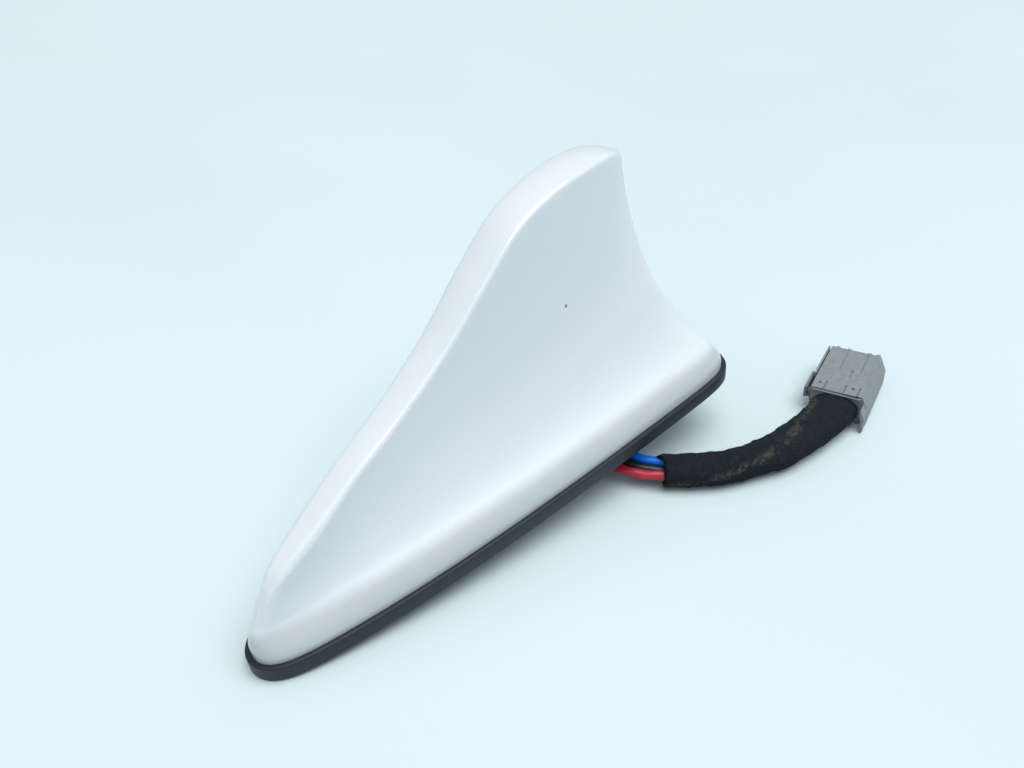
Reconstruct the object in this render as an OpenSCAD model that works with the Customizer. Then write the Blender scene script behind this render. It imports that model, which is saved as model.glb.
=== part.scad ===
// Shark-fin roof antenna for a car: painted cover on a rubber base pad, die-cast base plate with a
// fixing boss, antenna board inside, and a short lead with three coax wires and one connector.
// The origin is on the fixing thread's axis at the roof plane. +X points to the nose, +Y to the
// car's left and +Z up. The underside of the pad lies on the roof at z = 0.

/* [Plan outline] */
// Length over the rubber pad
pad_l = 157.4; // [154:0.2:170]
// Front of the pad ahead of the fixing thread's axis
nose_x = 82.5; // [80:0.5:86]
// Widest width over the rubber pad
pad_w = 64.8; // [62:0.2:72]
// How much fuller the nose is than a plain parabola
nose_full = 0.36; // [0.2:0.02:0.4]
// How square the tail is in plan
tail_square = 38; // [30:1:44]

/* [Base pad] */
// Height of the pad's lip above the roof
lip_h = 4.4; // [4:0.1:5]
// Thickness of the pad's lip
lip_t = 1.3; // [1:0.1:1.6]
// Thickness of the pad's floor
pad_t = 1.8; // [1.4:0.1:2]
// Width of the flat sealing band round the pad's underside
band_w = 8; // [7:0.5:10]
// Depth of the pockets under the pad
pocket_d = 0.9; // [0.4:0.1:1]
// Width of the ribs between the pockets
rib_w = 1.4; // [1:0.1:2]

/* [Cover] */
// Height of the fin above the roof
fin_h = 73.3; // [66:1:80]
// Wall of the cover
wall = 2.2; // [1.8:0.1:2.4]
// Height of the skirt's shoulder above the roof
shoulder_h = 13; // [12:0.5:14.5]
// How much lower the shoulder lies at the tail
tail_drop = 1.4; // [1:0.1:2]
// How far the shoulder lies inside the skirt's foot
shoulder_in = 4.7; // [4:0.1:5.2]
// Solid depth behind the trailing edge
edge_solid = 6; // [5:0.5:7]
// Radius of a screw post at the base plate
post_r = 2.9; // [2.6:0.1:3.2]

/* [Base plate and boss] */
// Thickness of the die-cast plate
plate_t = 2.4; // [2:0.1:2.8]
// Depth of the boss below the roof plane
boss_h = 8; // [7.5:0.5:11]
// Boss in front of the thread's axis
boss_front = 13; // [11:0.5:15]
// Boss behind the thread's axis
boss_back = 20; // [19:0.5:22]
// Width of the boss
boss_w = 22; // [20:0.5:25]
// Corner radius of the boss
boss_r = 4; // [2:0.5:5]
// Core radius of the fixing thread
thread_r = 2.5; // [2:0.25:3]
// Height of the thread's blind end above the roof plane
thread_top = 2; // [1:0.5:3]
// Height of the posts that carry the board
standoff_h = 2.4; // [2:0.2:3]

/* [Antenna board] */
// Front end of the board
board_front = 30; // [28:1:34]
// Back end of the board
board_back = -59; // [-60:0.5:-57]
// Thickness of the board
board_t = 1.6; // [1:0.2:2]
// Side of the square patch antenna
patch_w = 18; // [15:1:19]
// Height of the patch antenna
patch_h = 4; // [3:0.5:5]
// Length of the shield can
can_l = 14; // [12:1:15]
// Width of the shield can
can_w = 22; // [18:1:24]
// Height of the shield can
can_h = 3.6; // [3:0.2:4.4]
// Radius of the radio coil, at the middle of its wire
coil_r = 3.7; // [3.4:0.1:3.9]
// Thickness of the coil's wire
coil_wire = 0.9; // [0.7:0.1:1]
// Turns of the radio coil
coil_turns = 9; // [6:1:10]
// Height of the phone antenna
phone_h = 25; // [20:1:26]

/* [Lead] */
// Diameter of one coax wire
wire_d = 2.8; // [2.4:0.1:3]
// Half width of the cloth sleeve at its open end
sleeve_a = 5.1; // [5:0.1:5.4]
// Half height of the cloth sleeve
sleeve_b = 4.5; // [4.3:0.1:4.7]
// Wall of the cloth sleeve
sleeve_t = 0.8; // [0.5:0.1:0.9]

/* [Connector] */
// Length of the housing
plug_l = 26.6; // [24:0.2:30]
// Width of the housing
plug_w = 15.2; // [15:0.2:17]
// Height of the housing
plug_h = 9.1; // [9:0.1:10]
// Distance between two coax cavities
cavity_pitch = 4.4; // [4.2:0.1:4.6]
// Radius of a coax cavity
cavity_r = 1.9; // [1.7:0.1:1.95]

/* [Hidden] */
$fn = 32;

// Clearance between pieces that are slid together, and between pieces of the board
gap = 0.1;
slack = 0.2;
half_l = pad_l / 2;
mid_x = nose_x - half_l;
tail_x = nose_x - pad_l;

// Plan outline. The angle a runs once round the pad, from the nose at 0 over the left side to the
// tail at 180. The half width grows with the square root of the way back from the nose, is a little
// fuller near the nose, and closes round the tail.
nose_reach = 0.045;
function plan_raw(a) = let (t = (1 - cos(a)) / 2)
  abs(sin(a / 2)) * (1 + nose_full * exp(-t / nose_reach)) * sqrt(max(0, 1 - pow(t, tail_square)));
plan_max = max([for (a = [100:1:170]) plan_raw(a)]);
function plan_y(a) = pad_w / 2 * plan_raw(a) / plan_max * (sin(a) < 0 ? -1 : 1);
function plan_point(a) = [mid_x + half_l * cos(a), plan_y(a)];
function plan_normal(a) = let (d = plan_point(a + 0.4) - plan_point(a - 0.4)) [d[1], -d[0]] / norm(d);
function plan_in(a, inset) = plan_point(a) - inset * plan_normal(a);
// Half width of the pad at a place along X
function half_w(x) = plan_y(acos((x - mid_x) / half_l));

plan_step = 4;
module plan(inset) polygon([for (a = [0:plan_step:360 - plan_step]) plan_in(a, inset)]);
module slab(inset, low, high) translate([0, 0, low]) linear_extrude(high - low) plan(inset);

// Side view of the fin. Each row gives the angle at which the row is met on the way round, the place
// along X from the plan's middle as a share of the half length, the height as a share of the fin's
// height, the half width of the band along the ridge or trailing edge, and the rounding at its edges.
spine = [
  [0, 0.893, 0.270, 0.0, 0.0], [8, 0.878, 0.288, 2.0, 1.2], [20, 0.830, 0.329, 3.4, 2.2],
  [35, 0.713, 0.393, 3.9, 1.8], [50, 0.544, 0.483, 4.0, 1.3], [65, 0.337, 0.578, 4.3, 1.1],
  [78, 0.139, 0.690, 4.7, 1.0], [90, -0.051, 0.834, 5.2, 1.0], [100, -0.211, 0.943, 5.4, 1.0],
  [110, -0.371, 0.989, 5.8, 1.0], [120, -0.521, 1.000, 6.2, 1.0], [130, -0.654, 0.990, 5.8, 0.9],
  [138, -0.743, 0.962, 4.4, 0.8], [141, -0.770, 0.935, 3.2, 0.7], [144, -0.781, 0.886, 2.1, 0.6],
  [148, -0.795, 0.770, 1.5, 0.5], [153, -0.831, 0.633, 1.4, 0.5], [158, -0.872, 0.508, 1.4, 0.5],
  [163, -0.911, 0.392, 1.4, 0.5], [168, -0.940, 0.297, 1.4, 0.8], [174, -0.962, 0.241, 1.2, 0.8],
  [180, -0.966, 0.216, 0.0, 0.0]];
apex_a = 141;

// Smooth value of one column of the table at the angle a: cubic pieces with mean slopes
function row_at(a, i = 0) = i >= len(spine) - 2 || a < spine[i + 1][0] ? i : row_at(a, i + 1);
function slope_at(i, c) = let (lo = max(i - 1, 0), hi = min(i + 1, len(spine) - 1))
  (spine[hi][c] - spine[lo][c]) / (spine[hi][0] - spine[lo][0]);
function column(a, c) = let (
    i = row_at(a), h = spine[i + 1][0] - spine[i][0], u = (a - spine[i][0]) / h,
    p = spine[i][c], q = spine[i + 1][c], m = slope_at(i, c) * h, n = slope_at(i + 1, c) * h)
  p * (1 + 2 * u) * pow(1 - u, 2) + m * u * pow(1 - u, 2)
  + q * u * u * (3 - 2 * u) - n * u * u * (1 - u);
function spine_point(a) = [mid_x + half_l * column(a, 1), 0, fin_h * column(a, 2)];
function unit(v) = v / norm(v);
function spine_dir(a) = let (lo = max(a - 0.5, 0), hi = min(a + 0.5, 180))
  unit(spine_point(hi) - spine_point(lo));
// Outward normal of the side view: up on the ridge, backwards on the trailing edge
function spine_normal(a) = let (d = spine_dir(a)) [d[2], 0, -d[0]];

function bezier(p0, p1, p2, p3, u) = let (v = 1 - u)
  v * v * v * p0 + 3 * v * v * u * p1 + 3 * v * u * u * p2 + u * u * u * p3;
function smooth(lo, hi, x) = let (u = min(1, max(0, (x - lo) / (hi - lo)))) u * u * (3 - 2 * u);

// One cross curve of the cover, from its foot up the skirt, over the shoulder, up the hollow flank,
// round the edge of the ridge band and over its crown. deep is 0 on the outside and 1 on the inside.
foot_in = lip_t + gap;
foot_z = pad_t + gap;
crown = 0.12;
skirt_steps = [0, 0.25, 0.55, 0.8, 1];
flank_steps = [0.1, 0.24, 0.4, 0.56, 0.72, 0.88, 1];
function cross_curve(a, deep) = let (
    inset = foot_in + deep * wall,
    skin = deep * (wall + (edge_solid - wall) * smooth(apex_a - 6, apex_a + 4, a)),
    foot2 = plan_in(a, inset), foot = [foot2[0], foot2[1], lip_h - gap],
    out2 = plan_normal(a),
    back = smooth(138, 176, a),
    lean = shoulder_in * (0.55 + 0.45 * smooth(0, 40, a) - 0.24 * back),
    knee_z = shoulder_h - tail_drop * back - 0.7 * deep * wall,
    knee = foot + [-out2[0] * lean, -out2[1] * lean, knee_z - foot[2]],
    half = max(column(a, 3) - deep * wall, deep * 0.6 * min(1, a / 10, (180 - a) / 10)),
    cut = column(a, 4) * (1 - 0.5 * deep),
    peak = spine_point(a) - skin * spine_normal(a),
    edge = peak + [0, half, 0] - crown * half * spine_normal(a),
    run = edge - knee, flat = [run[0], run[1], 0], reach = norm(run),
    over = flat / max(norm(flat), 0.01),
    along = a < 90 ? spine_dir(a) : -spine_dir(a),
    pole = 1 - smooth(4, 30, min(a, 180 - a)),
    start = unit(over * cos(32) + [0, 0, sin(32)]),
    climb = 84 + 3 * smooth(120, 145, a),
    finish = unit((1 - pole) * (over * cos(climb) + [0, 0, sin(climb)]) + pole * along),
    lift = 0.45 * (knee[2] - foot[2]),
    below = edge - min(cut, half) * finish, above = edge - [0, min(cut, half / 2), 0]
      + min(cut, half / 2) * 2 * crown * spine_normal(a))
  concat(
    [[foot[0], foot[1], foot_z]],
    [for (u = skirt_steps) bezier(foot, foot + [0, 0, lift], knee - lift * start, knee, u)],
    [for (u = flank_steps)
      bezier(knee, knee + 0.29 * reach * start, below - 0.48 * reach * finish, below, u)],
    [(below + 2 * edge + above) / 4, above, [peak[0], half * 0.35, peak[2]]]);

// Angles at which the cover's cross curves stand, closer together at the fin's top corner
stations = concat([for (a = [0:4:24]) a], [for (a = [30:6:132]) a],
  [136, 138.5, 140, 141.2, 142.4, 144, 146], [for (a = [149:4:173]) a], [175.5, 178, 180]);
function mirrored(p) = [p[0], -p[1], p[2]];
function on_axis(p) = [p[0], 0, p[2]];

// Closed solid inside the cover's outer or inner surface, as rings that run once round the plan
module fin_body(deep) {
  n = len(stations) - 1;
  left = [for (a = stations) cross_curve(a, deep)];
  levels = len(left[0]);
  around = 2 * n;
  points = [for (j = [0:levels - 1], i = [0:around - 1])
    i == 0 || i == n ? on_axis(left[i][j]) : i < n ? left[i][j] : mirrored(left[around - i][j])];
  sides = [for (j = [0:levels - 2], i = [0:around - 1])
    let (k = (i + 1) % around, low = j * around, up = low + around)
    each [[low + i, up + i, up + k], [low + i, up + k, low + k]]];
  top = (levels - 1) * around;
  cap = [for (i = [1:n - 2]) let (p = top + i, q = top + around - i)
    each [[p, q, q - 1], [p, q - 1, p + 1]]];
  ends = [[top, top + around - 1, top + 1], [top + n - 1, top + n + 1, top + n]];
  floor = [[for (i = [0:around - 1]) i]];
  polyhedron(points, concat(sides, cap, ends, floor), convexity = 10);
}

// Screw posts of the cover: one in the nose and three pairs along the sides
post_in = 6.9;
post_rows = [20, -30, tail_x + 12];
posts = concat([[62, 0]], [for (x = post_rows, s = [-1, 1]) [x, s * (half_w(x) - post_in)]]);
plate_low = pad_t;
plate_top = plate_low + plate_t;
screw_r = 1.3;
screw_bite = 5.4;
post_len = 14;

module post(p) hull() {
  translate([p[0], p[1], plate_top]) cylinder(r = post_r, h = 0.1, $fn = 20);
  translate([p[0], p[1], plate_top + post_len]) cylinder(r = post_r + 0.5, h = 0.1, $fn = 20);
}
// Gusset that ties a side post to the skirt
module gusset(p) hull() {
  translate([p[0] - 0.7, p[1], plate_top + 1.5]) cube([1.4, 0.1, post_len - 2]);
  translate([p[0] - 0.7, p[1] + sign(p[1]) * 3.6, plate_top + 1.5]) cube([1.4, 0.1, post_len - 2]);
}

module cover() color("white") {
  difference() {
    fin_body(0);
    difference() {
      translate([0, 0, -gap]) fin_body(1);
      for (p = posts) post(p);
      for (p = posts) if (p[1] != 0) gusset(p);
    }
    for (p = posts) translate([p[0], p[1], plate_top - 1])
      cylinder(r = screw_r + gap, h = 1 + screw_bite + slack, $fn = 16);
  }
}

module boss_outline(grow) {
  w = boss_w / 2 + grow;
  f = boss_front + grow;
  b = boss_back + grow;
  r = boss_r + grow;
  translate([-b + r, -w]) square([f + b - 2 * r, 2 * w]);
  translate([-b, -w + r]) square([f + b, 2 * w - 2 * r]);
  for (x = [-b + r, f - r], y = [-w + r, w - r]) translate([x, y]) circle(r);
}

// Pad: a tray whose lip shows below the cover, with pockets and a double seal ring underneath
lip_round = 0.4;
pocket_pitch = 9;
ring_gap = 1.2;
boss_clear = 0.3;
module base_pad() color([0.08, 0.12, 0.15]) difference() {
  union() {
    slab(lip_round, 0, lip_round);
    slab(0, lip_round, lip_h - lip_round);
    slab(lip_round * 0.7, lip_h - lip_round, lip_h);
  }
  slab(lip_t, pad_t, lip_h + 1);
  translate([0, 0, -1]) linear_extrude(pad_t + 2) boss_outline(boss_clear);
  translate([0, 0, -1]) linear_extrude(1 + pocket_d) difference() {
    boss_outline(boss_clear + 2 * ring_gap);
    boss_outline(boss_clear + ring_gap);
  }
  for (x = [boss_front + 8:pocket_pitch:nose_x - 2.6 * pocket_pitch]) pocket(x);
  for (x = [-boss_back - 8 - pocket_pitch + rib_w:-pocket_pitch:tail_x + pocket_pitch]) pocket(x);
}
module pocket(x) for (s = [-1, 1]) {
  l = pocket_pitch - rib_w;
  near = half_w(x) - band_w;
  far = half_w(x + l) - band_w;
  translate([0, 0, -1]) linear_extrude(1 + pocket_d)
    polygon([[x, s * rib_w / 2], [x + l, s * rib_w / 2], [x + l, s * far], [x, s * near]]);
}

// Die-cast plate with the boss that goes through the roof, its thread and its cable shaft
plate_in = foot_in + wall + slack;
rim_t = 1.1;
rim_h = 1.6;
shaft_back = -boss_back + 5;
shaft_front = -6;
shaft_w = 14;
wire_z = -5.1;
window_w = 13;
window_h = 4;
board_low = plate_top + standoff_h;
board_top = board_low + board_t;
board_posts = [for (x = [4.5, board_back + 4], s = [-1, 1]) [x, s * (x > 0 ? 11.2 : 12)]];
module base_plate() color([0.62, 0.63, 0.65]) difference() {
  union() {
    slab(plate_in, plate_low, plate_top);
    difference() {
      slab(plate_in + 0.4, plate_top, plate_top + rim_h);
      slab(plate_in + 0.4 + rim_t, plate_top - 1, plate_top + rim_h + 1);
    }
    translate([0, 0, -boss_h]) linear_extrude(boss_h + plate_low + 0.5) boss_outline(0);
    for (p = board_posts) translate([p[0], p[1], plate_top]) cylinder(r = 2.6, h = standoff_h);
    for (x = [10:12:46]) translate([x, -6, plate_top]) cube([1.2, 12, 1.2]);
  }
  for (p = posts) translate([p[0], p[1], 0]) {
    cylinder(r = screw_r + slack, h = 20);
    translate([0, 0, plate_low - 1]) cylinder(r = head_r + slack, h = 1 + head_h);
    translate([0, 0, plate_top]) cylinder(r = post_r + slack, h = 10);
  }
  for (p = board_posts) translate([p[0], p[1], plate_top - 1]) cylinder(r = board_screw_r, h = 10);
  translate([0, 0, -boss_h - 1]) cylinder(r = thread_r, h = boss_h + 1 + thread_top);
  translate([shaft_back, -shaft_w / 2, wire_z - window_h / 2])
    cube([shaft_front - shaft_back, shaft_w, 30]);
  translate([-boss_back - 1, -window_w / 2, wire_z - window_h / 2])
    cube([boss_back, window_w, window_h]);
}

// Self-tapping screws that hold the cover, driven from below, with their heads in the plate
head_r = 2.5;
head_h = 1.2;
module cover_screws() color([0.75, 0.76, 0.78])
  for (p = posts) translate([p[0], p[1], plate_low]) difference() {
    union() {
      cylinder(r = head_r, h = head_h);
      cylinder(r = screw_r, h = plate_t);
      cylinder(r = screw_r - slack / 2, h = plate_t + screw_bite);
    }
    for (t = [0, 90]) rotate(t) translate([-1.3, -0.25, -1]) cube([2.6, 0.5, 1.7]);
  }

// Rubber grommet that closes the window in the boss and parts the three wires
wire_pitch = 4;
flange_t = 1.5;
grommet_in = 3;
grommet_end = -boss_back - flange_t;
module cable_grommet() color([0.06, 0.06, 0.06]) difference() {
  union() {
    translate([-boss_back, -window_w / 2 + gap / 2, wire_z - window_h / 2 + gap / 2])
      cube([grommet_in, window_w - gap, window_h - gap]);
    translate([grommet_end, -window_w / 2 - 1, wire_z - window_h / 2 - 0.7])
      cube([flange_t, window_w + 2, window_h + 1.4]);
  }
  for (k = [-1:1]) translate([grommet_end - 1, k * wire_pitch, wire_z]) rotate([0, 90, 0])
    cylinder(r = wire_d / 2 + 0.02, h = 10);
}

// Printed circuit board with a cut-out over the cable shaft
board_in = 10.6;
board_w = 15.5;
cut_w = 15;
function board_y(x) = min(board_w, half_w(x) - board_in);
module main_board() color([0.05, 0.3, 0.14]) difference() {
  xs = [for (x = [board_back:6:board_front]) x];
  translate([0, 0, board_low]) linear_extrude(board_t) polygon(concat(
    [for (x = xs) [x, -board_y(x)]], [for (i = [len(xs) - 1:-1:0]) [xs[i], board_y(xs[i])]]));
  translate([shaft_back - 1, -cut_w / 2, 0]) cube([shaft_front - shaft_back + 1, cut_w, 30]);
  for (p = board_posts) translate([p[0], p[1], 0]) cylinder(r = board_screw_r + slack, h = 30);
}

board_screw_r = 1;
module board_screws() color([0.75, 0.76, 0.78])
  for (p = board_posts) translate([p[0], p[1], board_top]) difference() {
    union() {
      cylinder(r = 2, h = 1.3);
      translate([0, 0, -board_t - standoff_h]) cylinder(r = board_screw_r, h = board_t + standoff_h);
    }
    for (t = [0, 90]) rotate(t) translate([-1.1, -0.2, 0.7]) cube([2.2, 0.4, 1]);
  }

// Shield can over the radio amplifier: a frame soldered to the board and a lid with vent holes
can_x = shaft_back - 4 - can_l;
can_t = 0.3;
module shield_frame() color([0.78, 0.78, 0.76]) translate([can_x, -can_w / 2, board_top]) difference() {
  cube([can_l, can_w, can_h]);
  translate([can_t, can_t, -1]) cube([can_l - 2 * can_t, can_w - 2 * can_t, can_h + 2]);
  for (y = [4:6:can_w - 4]) translate([-1, y, -0.1]) cube([can_l + 2, 1.4, 0.6]);
}
module shield_lid() color([0.84, 0.84, 0.82])
  translate([can_x - can_t, -can_w / 2 - can_t, board_top + 0.8]) difference() {
    cube([can_l + 2 * can_t, can_w + 2 * can_t, can_h - 0.8 + can_t]);
    translate([can_t, can_t, -1]) cube([can_l, can_w, can_h - 0.8 + 1]);
    for (x = [3:4:can_l - 2], y = [3:4:can_w - 2]) translate([x, y, 0]) cylinder(r = 0.6, h = 10);
  }

// Ceramic patch antenna for position signals, on its foam pad, with its plated top and feed pin
patch_x = board_front - 4 - patch_w / 2;
foam_t = 0.4;
pin_r = 0.4;
patch_low = board_top + foam_t;
module patch_pad() color([0.15, 0.15, 0.16]) translate([patch_x, 0, board_top]) difference() {
  translate([-patch_w / 2 + 1, -patch_w / 2 + 1, 0]) cube([patch_w - 2, patch_w - 2, foam_t]);
  translate([1.5, 0, -1]) cylinder(r = pin_r + slack, h = 3);
}
module patch_ceramic() color([0.8, 0.72, 0.56]) translate([patch_x, 0, patch_low]) difference() {
  translate([-patch_w / 2, -patch_w / 2, 0]) cube([patch_w, patch_w, patch_h]);
  translate([1.5, 0, -1]) cylinder(r = pin_r, h = patch_h + 2);
}
module patch_electrode() color([0.85, 0.85, 0.84]) translate([patch_x, 0, patch_low + patch_h]) {
  linear_extrude(0.1) difference() {
    w = patch_w / 2 - 2;
    polygon([[-w + 1.6, -w], [w, -w], [w, w - 1.6], [w - 1.6, w], [-w, w], [-w, -w + 1.6]]);
    translate([1.5, 0]) circle(pin_r);
  }
}
module patch_pin() color([0.85, 0.7, 0.3]) translate([patch_x + 1.5, 0, board_top])
  union() {
    cylinder(r = pin_r, h = foam_t + patch_h + 0.1);
    translate([0, 0, foam_t + patch_h + 0.1]) cylinder(r = 0.9, h = 0.3);
  }

// Filter and amplifier parts on the free stretches of the board, as [x, y, length, width, height]
chips = [[5, 0, 3, 3, 1], [-36, 8, 4, 3, 1.2], [-36, -9, 3, 3, 1], [-46, 8, 5, 4, 1.4],
  [-46, -8, 4, 4, 1], [-53, 7, 2, 1.2, 0.8], [-53, -7, 2, 1.2, 0.8]];
module amplifier_chips() color([0.1, 0.1, 0.11]) for (c = chips)
  translate([c[0] - c[2] / 2, c[1] - c[3] / 2, board_top]) cube([c[2], c[3], c[4]]);

// Plastic carrier for the coil, with a foot on the board and a head inside the top-load plate
coil_x = tail_x + 35.9;
coil_low = 17;
coil_pitch = 2.8;
coil_high = coil_low + coil_turns * coil_pitch;
coil_steps = 10;
core_r = coil_r * cos(180 / coil_steps) - coil_wire / 2 - gap / 2;
load_drop = 6.3;
load_top = fin_h - load_drop;
load_t = 0.4;
load_half = 2.4;
head_top = load_top - load_t;
load_skirt = 14;
head_low = load_top - load_skirt - slack;
head_l = 12;
module coil_carrier() color([0.82, 0.8, 0.74]) translate([coil_x, 0, 0]) {
  difference() {
    union() {
      translate([-5, -5, board_top]) cube([10, 10, 2]);
      translate([0, 0, board_top]) cylinder(r = core_r, h = head_low - board_top);
      translate([0, 0, coil_high + 1]) cylinder(r = core_r + 0.9, h = 1.2);
      translate([-head_l / 2, -load_half + load_t + gap, head_low])
        cube([head_l, 2 * (load_half - load_t - gap), head_top - head_low]);
    }
    translate([0, 0, board_top - 1]) cylinder(r = 1.2, h = coil_high - board_top + 1);
    for (x = [-3.5, 3.5]) translate([x - 1, -10, head_top - 9]) cube([2, 20, 5]);
  }
}

// Tube swept along a list of points. ref is a vector that is never parallel to the path; a and b
// are lists of the tube's half width and half height at each point.
function dir_at(path, i) = let (lo = max(i - 1, 0), hi = min(i + 1, len(path) - 1))
  unit(path[hi] - path[lo]);
function ring(path, i, ref, a, b, sides) = let (
    t = dir_at(path, i), s = unit(cross(ref, t)), u = cross(t, s))
  [for (k = [0:sides - 1]) let (w = 360 * k / sides) path[i] + a[i] * cos(w) * s + b[i] * sin(w) * u];
module tube(path, ref, a, b, sides) {
  n = len(path);
  points = [for (i = [0:n - 1]) each ring(path, i, ref, a, b, sides)];
  skin = [for (i = [0:n - 2], k = [0:sides - 1])
    let (q = (k + 1) % sides, low = i * sides, up = low + sides)
    each [[low + k, up + q, low + q], [low + k, up + k, up + q]]];
  ends = [[for (k = [0:sides - 1]) k], [for (k = [sides - 1:-1:0]) (n - 1) * sides + k]];
  polyhedron(points, concat(skin, ends), convexity = 10);
}
module round_tube(path, r, sides, ref = [0, 0, 1]) {
  all = [for (p = path) r];
  tube(path, ref, all, all, sides);
}

// Radio coil, wound round the carrier
module radio_coil() color([0.72, 0.42, 0.2]) translate([coil_x, 0, coil_low]) {
  turns = [for (i = [0:coil_turns * coil_steps]) let (w = 360 * i / coil_steps)
    [coil_r * cos(w), coil_r * sin(w), coil_pitch * i / coil_steps]];
  round_tube(turns, coil_wire / 2, 6);
}

// Folded sheet that loads the radio antenna, seated over the carrier's head under the ridge
load_side = [[25, -load_skirt], [-9, -load_skirt], [-9, 0.4], [13, 1.2], [25, -3]];
module top_load_plate() color([0.8, 0.8, 0.78]) translate([coil_x, 0, load_top]) difference() {
  load_block(load_half, 0);
  load_block(load_half - load_t, load_t);
  translate([-head_l / 2 - slack, -10, -load_t]) cube([head_l + 2 * slack, 20, 10]);
}
module load_block(w, down) rotate([90, 0, 0]) translate([0, -down, -w]) linear_extrude(2 * w)
  polygon([for (p = load_side) p[1] == -load_skirt ? p - [0, 5 * down] : p]);

// Spring strip that joins the coil's top end to the top-load plate
strip_t = 0.3;
strip_w = 2;
module coil_spring_clip() color([0.85, 0.7, 0.3]) translate([coil_x, -strip_w / 2, 0]) {
  bend = head_low - slack - strip_t;
  low = coil_high + 2.4;
  translate([core_r + gap, 0, low]) cube([strip_t, strip_w, bend - low + strip_t]);
  translate([core_r + gap, 0, bend]) cube([head_l / 2 + strip_t - core_r, strip_w, strip_t]);
  translate([head_l / 2 + gap, 0, bend]) cube([strip_t, strip_w, load_top + 0.2 - bend]);
}

// Upright board of the phone antenna, and its copper meander on the left face
phone_x = tail_x + 16.9;
phone_l = 13;
phone_t = 1;
module phone_board() color([0.05, 0.3, 0.14])
  translate([phone_x, -phone_t / 2, board_top]) cube([phone_l, phone_t, phone_h]);
module phone_radiator() color([0.8, 0.5, 0.25])
  translate([phone_x, phone_t / 2 + 0.1, board_top]) rotate([90, 0, 0]) linear_extrude(0.1) {
    translate([2, 1]) square([1.2, phone_h - 2]);
    for (i = [0:2:phone_h / 3 - 2]) {
      translate([2, 3 + 3 * i]) square([9, 1.2]);
      translate([9.8, 3 + 3 * i]) square([1.2, 4.2]);
      translate([2, 6 + 3 * i]) square([9, 1.2]);
    }
  }

// Inner ends of the coax: ferrules on the board, held by one stamped earth clip
coax_z = board_top + 1.9;
ferrule_r = 1.8;
ferrule_back = shaft_front + 2.5;
ferrule_l = 5;
module coax_ferrules() color([0.82, 0.66, 0.3]) for (k = [-1:1])
  translate([ferrule_back, k * wire_pitch, coax_z]) rotate([0, 90, 0]) {
    cylinder(r = ferrule_r, h = ferrule_l);
    cylinder(r = 0.5, h = ferrule_l + 1.5);
  }
module earth_clip() color([0.8, 0.8, 0.78]) difference() {
  r = ferrule_r + 0.02;
  translate([ferrule_back + 1.5, -wire_pitch - 4, board_top])
    cube([2.4, 2 * wire_pitch + 8, coax_z - board_top + ferrule_r + 0.5]);
  for (k = [-1:1]) translate([0, k * wire_pitch, coax_z]) rotate([0, 90, 0])
    cylinder(r = r, h = 10, center = true);
  for (k = [-1:1]) translate([ferrule_back, k * wire_pitch - r, board_top - 1])
    cube([8, 2 * r, coax_z - board_top + 1]);
}

// The stretch of each wire inside the boss, from the grommet's face up to its ferrule
inner_path = [[grommet_end, wire_z], [-17, wire_z], [-14.5, -4.7], [-12.4, -3.4], [-11.1, -1.4],
  [-10.7, 1], [-10.6, 4], [-10.2, 6.6], [-9, 8.8], [-7.2, coax_z - 0.3], [-5.5, coax_z],
  [ferrule_back, coax_z]];
module inner_coax() color([0.1, 0.1, 0.1]) for (k = [-1:1])
  round_tube([for (p = inner_path) [p[0], k * wire_pitch, p[1]]], wire_d / 2, 8, [0, 1, 0]);

// Lead: route of the bundle's middle, from the grommet's face to the connector
lead = [[grommet_end, 0, wire_z], [-23, 0, wire_z], [-25, 0, wire_z], [-27.8, 1.1, -5.2],
  [-29.8, 3.9, -5.7], [-30.4, 8, -6.3], [-29.6, 12.7, -6.9], [-28.3, 17.5, -7.5], [-27.7, 22.3, -8],
  [-28.8, 27.3, -8.5], [-31.8, 32.6, -9.05], [-35.5, 37.4, -9.5], [-39.4, 41.5, -9.98],
  [-43.3, 44.8, -10.45], [-47.6, 47.6, -10.96], [-52.2, 50, -11.52], [-57, 52, -12.09],
  [-62, 53.5, -12.69], [-67.1, 54.4, -13.3], [-72.2, 55.1, -13.92], [-77.2, 55.7, -14.52],
  [-82, 56.1, -15.09], [-86.62, 56.18, -15.61], [-91, 55.3, -16.15]];
sleeve_start = 10;
// How far the outer wires lie beside the middle of the bundle, and how far it sinks below them
spread = [4, 4, 4, 3.9, 3.8, 3.6, 3.5, 3.4, 3.2, 2.95, 2.7, 2.6, 2.4, 2.2, 2, 1.9, 1.7, 1.7, 1.8,
  2.2, 2.8, 3.6, 4.4, 4.4];
sink = [0, 0, 0, 0, 0, 0, 0.05, 0.1, 0.15, 0.3, 0.55, 0.75, 1, 1.2, 1.35, 1.45, 1.6, 1.6, 1.5,
  1.2, 0.5, 0.2, 0, 0];
function lead_dir(i) = dir_at(lead, i);
function lead_side(i) = unit(cross([0, 0, 1], lead_dir(i)));
function lead_up(i) = cross(lead_dir(i), lead_side(i));
function wire_path(k) = [for (i = [0:len(lead) - 1])
  lead[i] + k * spread[i] * lead_side(i) + (k == 0 ? -0.67 : 0.33) * 1.5 * sink[i] * lead_up(i)];
module wire(k) round_tube(wire_path(k), wire_d / 2, 8);
module position_wire() color([0.02, 0.3, 0.8]) wire(1);
module radio_wire() color([0.06, 0.06, 0.07]) wire(0);
module phone_wire() color([0.75, 0.1, 0.14]) wire(-1);

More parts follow.
